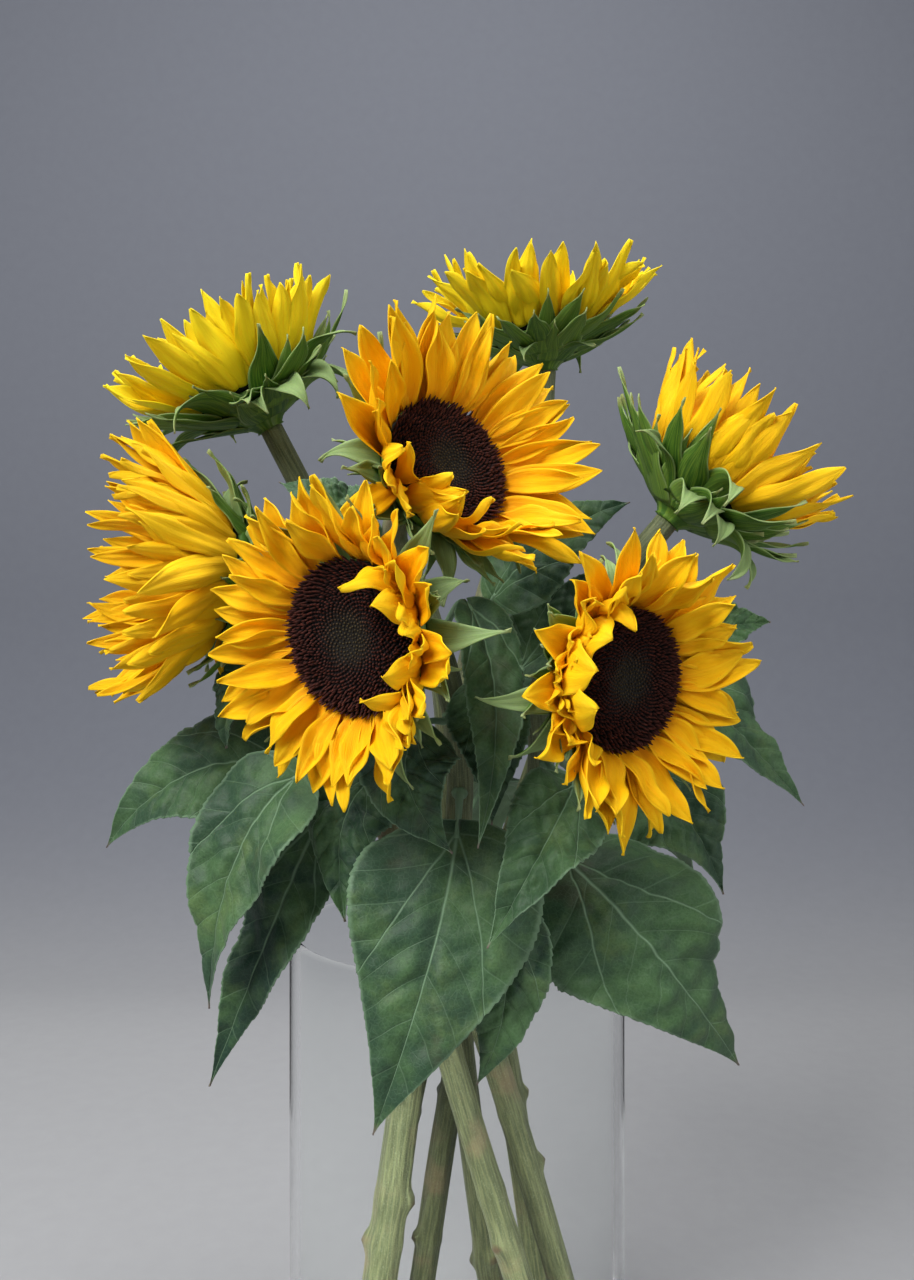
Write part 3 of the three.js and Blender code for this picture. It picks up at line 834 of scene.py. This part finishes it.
def add_bracts(head, material):
    """The cup at the back of the flower with three rows of pointed bracts that hug the petals,
    some of them curling away at their tips, and the hooks where a flower has them."""
    rng = head.rng
    parts = [cup_surface(head)]
    habit = PETAL_HABIT[head.number]
    large = habit.get("collar", 1.0)
    for row, (count, length, width, out, high, low, rise) in enumerate(BRACT_ROWS):
        step = 2 * math.pi / count
        angle = step * (np.arange(count) + 0.5 * row) + rng.normal(0, step * 0.15, count)
        lift = np.radians(around(habit["rise"], angle)[0])
        first = np.radians(low) + rng.normal(0, 0.15, count)
        last = np.minimum(np.radians(rise), lift - 0.08) + rng.normal(0, 0.28, count)
        last = np.where(rng.uniform(0, 1, count) < LOOSE_BRACTS, last - rng.uniform(0.8, 2.4, count), last)
        grids, uv = swept_blades(
            head, angle, (head.radius * out, high * MM), length * large * MM * rng.uniform(0.8, 1.15, count),
            width * large * MM * rng.uniform(0.85, 1.1, count), first, last,
            yaw=rng.normal(0, 0.10, count), twist=rng.normal(0, 0.35, count),
            cup=rng.uniform(0.1, 0.4, count), profile=bract_profile, rows=20, columns=9,
            groove=0.3 * MM, ripple=1.2 * MM, bend_power=1.6)
        tone = np.clip(rng.normal(0.35, 0.3, count), 0, 1)
        parts.append(thin_sheets(grids, uv, BRACT_THICK, tone))
    hooks = np.array(habit.get("hooks", ()), dtype=float).reshape(-1, 4)
    if len(hooks):
        grids, uv = swept_blades(
            head, np.radians(hooks[:, 0]), (head.radius * HOOK_ROOT[0], HOOK_ROOT[1] * MM),
            hooks[:, 1] * MM, hooks[:, 2] * MM, np.radians(HOOK_RISE), np.radians(hooks[:, 3]),
            yaw=0.05, twist=0.3, cup=0.35, profile=bract_profile, rows=24, columns=11,
            groove=0.3 * MM, ripple=1.4 * MM, bend_power=1.5, crumple=2.0 * MM)
        parts.append(thin_sheets(grids, uv, BRACT_THICK, np.full(len(hooks), HOOK_TONE)))
    vertices, faces, uv, floats = joined_parts(parts)
    name = head.name + "_bracts"
    add_piece(name + "_fine", vertices, faces, material, (name,), uv, floats)


NECK_RADIUS = 8.0 * MM
CUP_FOOT = -27.0 * MM            # from the rim plane back to the stem
CUP_BOWL = (                     # share of the disc's radius, height in mm
    (0.24, -26.0), (0.30, -24.0), (0.42, -21.5), (0.62, -18.0), (0.84, -14.0),
    (0.96, -11.0), (1.0, -9.0), (1.0, -7.2), (0.97, -6.1), (0.5, -6.1),
)


def cup_surface(head):
    """The closed receptacle: a bowl turned about the head's axis, from the stem to the rim, with
    nine low ribs as a cosine round it."""
    share, high = np.array(CUP_BOWL).T
    share = np.concatenate([[NECK_RADIUS / head.radius], share])
    high = np.concatenate([[CUP_FOOT], high * MM])
    sides = 40
    rows = len(share)
    turn = ring_angles(sides)
    ridge = 1.0 + 0.03 * np.cos(turn * 9) * (share[:, None] < 0.9)
    vertices, faces = head.turned(share[:, None] * head.radius * ridge, high, sides)
    uv = np.stack([np.tile(turn / (2 * math.pi), rows), np.repeat(np.linspace(0, 0.5, rows), sides)], 1)
    uv = np.concatenate([uv, [[0.5, 0.0], [0.5, 0.5]]])
    return vertices, faces, uv, {"tone": np.full(len(uv), 0.2), "under": np.ones(len(uv))}


# ------------------------------------------------------------------ stems

STEM_SIDES = 8                   # of the solid stem
STEM_JOINTS = 5
JOINT_LENGTH = 0.008             # of a swollen joint, as a share of the stem
UV_LENGTH = 0.1                  # metres of stem to one unit of UV y


def stem_line(name):
    """The centre line and radii of a solid stem: it is a row of eight-sided rings, so each next
    ring is the eight vertices nearest the middle of the one before, from the lowest vertex up."""
    left = node_points(name)
    middle = left[left[:, 2].argmin()]
    centres, radii = [], []
    while len(left) >= STEM_SIDES:
        order = np.linalg.norm(left - middle, axis=1).argsort()
        ring = left[order[:STEM_SIDES]]
        left = left[order[STEM_SIDES:]]
        middle = ring.mean(axis=0)
        centres.append(middle)
        radii.append(np.linalg.norm(ring - middle, axis=1).mean())
    return np.array(centres), np.array(radii)


def length_of(line):
    """The sum of a line's steps."""
    return np.linalg.norm(np.diff(line, axis=0), axis=1).sum()


def through(points, count):
    """A smooth line of count points through the given ones, as a Catmull-Rom curve evenly
    spread over its stretches."""
    ends = np.concatenate([[2 * points[0] - points[1]], points, [2 * points[-1] - points[-2]]])
    place = np.linspace(0, len(points) - 1 - 1e-9, count)
    i = place.astype(int)
    t = (place - i)[:, None]
    a, b, c, d = ends[i], ends[i + 1], ends[i + 2], ends[i + 3]
    return 0.5 * (2 * b + (c - a) * t + (2 * a - 5 * b + 4 * c - d) * t ** 2
                  + (3 * b - a - 3 * c + d) * t ** 3)


def spokes_along(line, turn):
    """Unit vectors square to a line at each of its points, at each angle of turn. They are
    measured from a normal that is square to the direction which the line keeps clearest of, so
    the tube round the line never spins."""
    tangent = unit(np.gradient(line, axis=0))
    _, _, spread = np.linalg.svd(tangent, full_matrices=False)
    side = unit(np.cross(tangent, spread[2]))
    other = np.cross(tangent, side)
    return side[:, None] * np.cos(turn)[:, None] + other[:, None] * np.sin(turn)[:, None]


def add_stem(head, material):
    """A ridged stem: a tube along the solid stem's line, its radius times a sum of cosines and
    smooth noise round it, with a swollen joint and a scarred stump where a leaf was stripped."""
    rng = head.rng
    name = head.name + "_stem"
    centres, radii = stem_line(name)
    rows, sides = 170, 36
    line = through(centres, rows)
    s = np.linspace(0, 1, rows)
    radius = np.interp(s, np.linspace(0, 1, len(radii)), radii)
    turn = ring_angles(sides)
    scale = np.ones((rows, sides))
    scale += 0.035 * np.cos(turn * 7 + rng.uniform(0, 6)) + 0.02 * np.cos(turn * 12 + 3 * s[:, None])
    scale += 0.05 * smooth_noise(rng, s[:, None] * 40, turn, waves=6)
    scar = np.zeros((rows, sides))
    for joint in rng.uniform(0.06, 0.62, STEM_JOINTS):
        facing = np.clip(np.cos(turn - rng.uniform(0, 2 * math.pi)), 0, 1)
        knob = np.exp(-((s[:, None] - joint) / JOINT_LENGTH) ** 2)
        scale += knob * (0.06 + 0.38 * facing ** 8)
        scar += knob ** 2 * facing ** 10
    rings = line[:, None] + (radius[:, None] * scale)[..., None] * spokes_along(line, turn)
    along = s * length_of(line) / UV_LENGTH
    uv = np.stack([np.tile(turn / (2 * math.pi), rows), np.repeat(along, sides)], 1)
    uv = np.concatenate([uv, [[0.5, 0.0], [0.5, 1.0]]])
    scar = np.concatenate([scar.reshape(-1), [0.0, 0.0]])
    add_piece(name + "_fine", capped(rings[None]), tube_faces(1, rows, sides), material,
              (name,), uv, {"scar": scar})
    return centres, radii


# ------------------------------------------------------------------ leaves

LEAF_THICK = 0.5 * MM
STALK_RADIUS = 2.1 * MM
LEAF_CURL = 25.0                 # degrees that each half bends back between midrib and edge
LEAF_LOBE = 0.05                 # how far the shoulders reach back, as a share of the length
TOOTH_PITCH = 4.2 * MM
TOOTH_DEPTH = 1.1 * MM
EDGE_FLUTTER = 1.6 * MM
QUILT_RISE = 1.1 * MM            # how far the blade stands up between the veins,
QUILT_SLOPE = 0.018              # and how near a vein it starts to fall, in leaf lengths
BROAD_BUCKLE = 4.2 * MM
CLOSE_BUCKLE = 1.5 * MM

# Each flower's leaves, in the order of their numbers. As in the solid model and in millimetres:
# start is the height at which the stalk leaves the stem, line is where the blade's midrib begins,
# passes and ends, width is the blade's, and faces is the way that its upper side looks. Then its
# habit: fold lifts the two halves (left, right, in degrees), wave ruffles the edge, twist turns
# the tip, crumple buckles the blade between the veins, and tone is its lightness.
LEAVES = {
    1: [
        dict(start=450, line=[(20, 10, 458), (52, -4, 490), (94, 0, 510)], width=52,
             faces=(-0.3, -0.8, 0.5), fold=(6, 10), wave=4, twist=16, tone=0.25, crumple=1.3),
        dict(start=400, line=[(16, 62, 415), (22, 112, 404), (30, 150, 340)], width=70,
             faces=(0, 0.5, 0.8), fold=(14, 10), wave=4, twist=-10, tone=0.3, crumple=1),
        dict(start=380, line=[(30, 56, 384), (66, 92, 370), (98, 118, 300)], width=66,
             faces=(0.6, 0.6, 0.5), fold=(16, 8), wave=4, twist=14, tone=0.2, crumple=1),
        dict(start=380, line=[(34, 18, 416), (66, 20, 452), (104, 22, 474)], width=50,
             faces=(-0.2, -0.9, 0.4), fold=(14, 8), wave=4, twist=-12, tone=0.2, crumple=1),
    ],
    2: [
        dict(start=455, line=[(-76, -6, 470), (-90, -10, 466), (-100, -10, 440)], width=34,
             faces=(-0.3, -0.9, 0.3), fold=(14, 18), wave=3, twist=12, tone=0.3, crumple=1),
        dict(start=400, line=[(-62, 26, 410), (-98, 54, 400), (-134, 78, 340)], width=62,
             faces=(-0.5, 0.5, 0.7), fold=(10, 16), wave=4, twist=8, tone=0.3, crumple=1),
    ],
    3: [
        dict(start=440, line=[(6, -86, 450), (17, -110, 404), (9, -114, 344)], width=30,
             faces=(0.3, -0.95, 0.1), fold=(18, 34), wave=4, twist=50, tone=0.55, crumple=1.2),
        dict(start=330, line=[(14, 50, 352), (10, 98, 330), (4, 118, 250)], width=64,
             faces=(0, 0.9, 0.4), fold=(12, 12), wave=4, twist=10, tone=0.2, crumple=1),
        dict(start=468, line=[(-44, -50, 498), (-64, -54, 504), (-90, -40, 515)], width=32,
             faces=(0.1, -0.8, 0.6), fold=(20, 14), wave=3, twist=-10, tone=0.9, crumple=1),
    ],
    4: [
        dict(start=362, line=[(-80, -34, 366), (-134, -34, 368), (-184, -20, 326)], width=66,
             faces=(-0.2, -0.8, 0.55), fold=(14, 6), wave=5, twist=-8, tone=0.4, crumple=1.3),
        dict(start=376, line=[(-76, -72, 370), (-104, -84, 330), (-117, -76, 261)], width=60,
             faces=(-0.3, -0.9, 0.3), fold=(10, 32), wave=4, twist=16, tone=0.35, crumple=1.3),
        dict(start=345, line=[(-68, -54, 346), (-92, -62, 290), (-122, -54, 215)], width=42,
             faces=(-0.3, -0.9, 0.2), fold=(8, 14), wave=5, twist=-14, tone=0.0, crumple=1.8),
        dict(start=425, line=[(-92, -62, 425), (-108, -66, 408), (-113, -56, 382)], width=30,
             faces=(-0.5, -0.8, 0.2), fold=(14, 14), wave=2, twist=0, tone=0.7, crumple=1),
    ],
    5: [
        dict(start=362, line=[(0, -82, 345), (-12, -106, 292), (-37, -110, 217)], width=88,
             faces=(-0.1, -1, 0.15), fold=(15, 7), wave=4, twist=-6, tone=0.35, crumple=1.4),
        dict(start=400, line=[(-16, -93, 396), (-22, -106, 372), (-2, -104, 340)], width=48,
             faces=(-0.2, -0.95, 0.2), fold=(10, 12), wave=3, twist=0, tone=0.15, crumple=1.2),
        dict(start=308, line=[(15, -86, 312), (22, -99, 276), (9, -98, 234)], width=44,
             faces=(0.1, -1, 0.1), fold=(8, 8), wave=3, twist=6, tone=0.0, crumple=1.2),
        dict(start=340, line=[(-40, -66, 368), (-54, -78, 346), (-52, -84, 304)], width=44,
             faces=(-0.3, -0.9, 0.3), fold=(12, 10), wave=3, twist=0, tone=0.0, crumple=1.2),
        dict(start=405, line=[(10, -80, 414), (16, -88, 388), (16, -90, 350)], width=38,
             faces=(0.1, -1, 0.1), fold=(10, 14), wave=3, twist=8, tone=0.1, crumple=1.2),
    ],
    6: [
        dict(start=378, line=[(54, -88, 368), (38, -112, 344), (13, -120, 302)], width=44,
             faces=(-0.1, -0.95, 0.3), fold=(16, 22), wave=4, twist=24, tone=0.7, crumple=1.3),
        dict(start=330, line=[(52, -64, 330), (92, -86, 290), (138, -58, 227)], width=90,
             faces=(0.35, -0.85, 0.4), fold=(-24, 14), wave=8, twist=10, tone=0.6, crumple=1.6),
    ],
    7: [
        dict(start=360, line=[(84, -26, 362), (114, -34, 348), (137, -30, 304)], width=62,
             faces=(0.3, -0.9, 0.3), fold=(12, 16), wave=4, twist=0, tone=0.4, crumple=1.2),
        dict(start=420, line=[(116, -22, 416), (142, -24, 392), (182, -20, 348)], width=54,
             faces=(0.3, -0.8, 0.5), fold=(14, 20), wave=4, twist=-10, tone=0.35, crumple=1),
        dict(start=440, line=[(122, -14, 436), (143, -18, 442), (164, -22, 444)], width=36,
             faces=(0.1, -0.9, 0.5), fold=(16, 16), wave=2, twist=0, tone=0.5, crumple=1),
        dict(start=330, line=[(68, 24, 338), (108, 40, 334), (146, 48, 276)], width=58,
             faces=(0.7, 0.3, 0.6), fold=(12, 12), wave=4, twist=8, tone=0.2, crumple=1),
    ],
}


def leaf_outline(s):
    """Half width along a leaf, 1 at its widest: round shoulders and a drawn-out tip."""
    return drawn_out(s, 0.50, 1.30)


def vein_distance(side, along):
    """Distance to the nearest main vein in leaf lengths, as the leaf material draws them."""
    strong = np.abs(side - along * STRONG_VEIN_SLOPE)
    inner = along - side * INNER_SLOPE - side ** 2 * VEIN_SWERVE
    run = np.where(side > along * STRONG_VEIN_SLOPE, along - side * OUTER_SLOPE, inner)
    fine = np.abs((run / FINE_VEIN_STEP + 0.5) % 1.0 - 0.5) * FINE_VEIN_STEP
    return np.minimum(np.minimum(side, strong), fine + 0.004)


def leaf_sheet(rng, leaf):
    """A leaf's blade: its midrib is a parabola through three points; each half leaves it at the
    fold angle and bends on in an arc; the blade is quilted between the veins and buckled by
    smooth noise, the edge is toothed by a saw wave and ruffled by a sine, and the whole turns
    about the midrib towards the tip. Returns the grid, its uv and how near each point is to
    the margin."""
    rows, columns = 152, 37
    base, mid, tip = (np.array(p) * MM for p in leaf["line"])
    bend = 2 * mid - (base + tip) / 2
    s = np.linspace(0, 1, rows)
    t = s[:, None]
    line = base * (1 - t) ** 2 + 2 * bend * t * (1 - t) + tip * t ** 2
    tangent = unit(2 * (bend - base) * (1 - t) + 2 * (tip - bend) * t)
    length = length_of(line)
    side = unit(np.cross(np.array(leaf["faces"], dtype=float), tangent))
    normal = np.cross(tangent, side)
    turn = np.radians(leaf["twist"]) * (s - 0.35)[:, None]
    side, normal = side * np.cos(turn) + normal * np.sin(turn), normal * np.cos(turn) - side * np.sin(turn)
    v = np.linspace(-1, 1, columns)[None, :]
    widest = leaf["width"] / 2 * MM
    half = np.maximum(widest * leaf_outline(t), LEAF_THICK / 2)
    margin = np.abs(v) ** 10 + 0.0 * t
    saw = (t * length / TOOTH_PITCH + 0.3 * np.sign(v) + 0.25 * np.sin(t * 37 + v)) % 1.0
    x = v * (half + saw * TOOTH_DEPTH * margin * np.sin(math.pi * t ** 0.7))
    fold = np.radians(np.where(v < 0, leaf["fold"][0], leaf["fold"][1]))
    curl = np.radians(LEAF_CURL) / widest
    angle = fold - curl * np.abs(x)
    flat = (np.sin(fold) - np.sin(angle)) / curl
    raised = (np.cos(angle) - np.cos(fold)) / curl
    lobe = LEAF_LOBE * length * v ** 2 * (1 - t) ** 7
    wave = leaf["wave"] * MM * v ** 2 * np.sin(9.0 * t + rng.uniform(0, 6) + np.sign(v) * 1.1)
    wave = wave * np.sin(math.pi * t ** 0.8)
    wave = wave + EDGE_FLUTTER * smooth_noise(rng, t * 9, v * 3, waves=6) * np.abs(v)
    broad = smooth_noise(rng, t * 26, x / length * 30, waves=7)
    close = smooth_noise(rng, t * 75, x / length * 80, waves=9)
    away = 1 - np.exp(-(x / length / 0.05) ** 2)
    inside = np.sin(math.pi * t)
    buckle = leaf["crumple"] * (BROAD_BUCKLE * broad * away + CLOSE_BUCKLE * close) * inside ** 0.6
    share = vein_distance(np.abs(x) / length, t + 0.0 * v)
    quilt = QUILT_RISE * (1 - np.exp(-(share / QUILT_SLOPE) ** 2)) * inside ** 0.5
    grid = (line[:, None] + side[:, None] * (np.sign(v) * flat)[..., None]
            + normal[:, None] * (raised + wave + buckle + quilt)[..., None]
            - tangent[:, None] * lobe[..., None])
    uv = np.stack([0.5 + x / length, t + 0.0 * v], axis=-1)
    return grid[None], uv[None], margin


def stalk_tube(start, outward, base, heading):
    """A leaf stalk: a cubic curve that leaves the stem along outward and enters the blade along
    heading, as a slightly grooved tube that thins towards the blade."""
    rows, sides = 26, 12
    t = np.linspace(0, 1, rows)[:, None]
    lead = 0.35 * np.linalg.norm(base - start)
    a, b, c, d = start, start + outward * lead, base - heading * lead, base + heading * 3 * MM
    line = a * (1 - t) ** 3 + 3 * b * t * (1 - t) ** 2 + 3 * c * t ** 2 * (1 - t) + d * t ** 3
    turn = ring_angles(sides)
    girth = STALK_RADIUS * (1.25 - 0.65 * t ** 0.6) * (1 - 0.12 * np.clip(np.cos(turn), 0, 1))
    girth = girth * (1 + 0.6 * np.exp(-(t / 0.05) ** 2))
    vertices = capped((line[:, None] + girth[..., None] * spokes_along(line, turn))[None])
    uv = np.tile([[0.5, 0.05]], (len(vertices), 1))
    flat = np.zeros(len(vertices))
    return vertices, tube_faces(1, rows, sides), uv, {"tone": flat + 1, "under": flat, "margin": flat}


def add_leaf(name, leaf, stem, material):
    """One leaf: its blade, and its stalk from the stem's skin at the leaf's start."""
    rng = np.random.default_rng(name_seed(name))
    centres, radii = stem
    steps = 400
    line = through(centres, steps)
    girth = np.interp(np.linspace(0, 1, steps), np.linspace(0, 1, len(radii)), radii)
    near = np.abs(line[:, 2] - leaf["start"] * MM).argmin()
    along = unit(np.gradient(line, axis=0)[near])
    base, mid, tip = (np.array(p) * MM for p in leaf["line"])
    outward = base - line[near]
    outward = unit(outward - along * np.dot(outward, along))
    start = line[near] + outward * girth[near] * 0.9
    heading = unit(2 * mid - (base + tip) / 2 - base)
    grid, uv, margin = leaf_sheet(rng, leaf)
    vertices, faces, uv, floats = thin_sheets(grid, uv, LEAF_THICK, [leaf["tone"]])
    floats["margin"] = np.tile(margin.reshape(-1), 2)
    stalk = stalk_tube(start, outward, base, heading)
    vertices, faces, uv, floats = joined_parts([(vertices, faces, uv, floats), stalk])
    add_piece(name + "_fine", vertices, faces, material, (name,), uv, floats)


def name_seed(name):
    """A whole number from a name that is the same on every run: the sum of its letters' codes,
    each times its place."""
    return sum((i + 1) * ord(letter) for i, letter in enumerate(name))


# ------------------------------------------------------------------ vase

VASE_WALL = 4.5 * MM
VASE_FLOOR = 14.0 * MM
FOOT_ROUND = 3.0 * MM
INNER_ROUND = 4.0 * MM
VASE_SIDES = 160


def arc(centre, radius, start, end, count):
    """Points of an arc in the profile's plane, angles in degrees."""
    angle = np.radians(np.linspace(start, end, count))
    return np.stack([centre[0] + radius * np.cos(angle), centre[1] + radius * np.sin(angle)], 1)


def add_vase(material):
    """A straight glass cylinder with a thick floor and a softly rounded rim and foot: a profile
    of straight runs and arcs turned about the Z axis. It casts no shadow, as clear glass lets
    the light through."""
    low, high = (np.array(c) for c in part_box("vase"))
    radius, height = (high[0] - low[0]) / 2, high[2]
    inner = radius - VASE_WALL
    lip = VASE_WALL / 2
    profile = np.concatenate([
        [[radius / 2, 0.0]],
        arc((radius - FOOT_ROUND, FOOT_ROUND), FOOT_ROUND, -90, 0, 7),
        arc((radius - lip, height - lip), lip, 0, 180, 11),
        arc((inner - INNER_ROUND, VASE_FLOOR + INNER_ROUND), INNER_ROUND, 0, -90, 7),
        [[inner / 2, VASE_FLOOR]],
    ])
    turn = ring_angles(VASE_SIDES)
    out, up = profile[:, 0, None], profile[:, 1, None]
    rings = np.stack([out * np.cos(turn), out * np.sin(turn), up + 0.0 * turn], axis=-1)
    vase = add_piece("vase_fine", capped(rings[None]), tube_faces(1, len(profile), VASE_SIDES),
                     material, ("vase",))
    vase.visible_shadow = False


# ------------------------------------------------------------------ stage

SWEEP_FRONT = -1.6               # the paper's front edge,
SWEEP_DEPTH = 0.75               # where it starts to curve up,
SWEEP_BEND = 0.5                 # the curve's radius,
SWEEP_HEIGHT = 1.9
SWEEP_HALF = 2.6                 # and half its width


def add_stage(material):
    """A plain paper sweep: a floor that curves up in a quarter circle into a wall behind."""
    profile = np.concatenate([[[SWEEP_FRONT, 0.0], [0.0, 0.0]],
                              arc((SWEEP_DEPTH, SWEEP_BEND), SWEEP_BEND, -90, 0, 17),
                              [[SWEEP_DEPTH + SWEEP_BEND, SWEEP_HEIGHT]]])
    across = np.array([[-SWEEP_HALF], [0.0], [SWEEP_HALF]])
    level = np.zeros((len(across), len(profile)))
    grid = np.stack([across + level, profile[:, 0] + level, profile[:, 1] + level], axis=-1)
    index = np.arange(level.size).reshape(level.shape)
    quads = np.stack([index[:-1, :-1], index[1:, :-1], index[1:, 1:], index[:-1, 1:]], -1).reshape(-1, 4)
    mesh = bpy.data.meshes.new("sweep")
    mesh.from_pydata(grid.reshape(-1, 3).tolist(), [], quads.tolist())
    mesh.polygons.foreach_set("use_smooth", np.ones(len(quads), dtype=bool))
    mesh.materials.append(material)
    sweep = bpy.data.objects.new("sweep", mesh)
    bpy.context.scene.collection.objects.link(sweep)


# ------------------------------------------------------------------ assembly

def build():
    """Camera, light and stage, then the vase, then each flower with its leaves."""
    add_camera()
    add_lights()
    add_stage(sweep_material())
    bpy.context.scene.view_settings.view_transform = "Standard"
    add_vase(glass_material())
    gold = petal_material("petal_gold", root=(0.86, 0.34, 0.002), body=(1.0, 0.54, 0.003),
                          tip=(1.0, 0.64, 0.012))
    lemon = petal_material("petal_lemon", root=(0.86, 0.50, 0.003), body=(0.98, 0.72, 0.005),
                           tip=(1.0, 0.80, 0.02))
    leaf_green = leaf_material("leaf_green", dark=(0.011, 0.040, 0.022), light=(0.058, 0.125, 0.044),
                               vein=(0.18, 0.29, 0.17), under=(0.17, 0.26, 0.15))
    bract_green, stem_green, disc_brown = bract_material(), stem_material(), disc_material()
    for number in range(1, FLOWERS + 1):
        head = Head(number)
        stem = add_stem(head, stem_green)
        add_bracts(head, bract_green)
        add_disc(head, disc_brown)
        add_petals(head, lemon if number <= LEMON_FLOWERS else gold)
        for place, leaf in enumerate(LEAVES[number], 1):
            add_leaf(f"{head.name}_leaf_{place}", leaf, stem, leaf_green)


build()
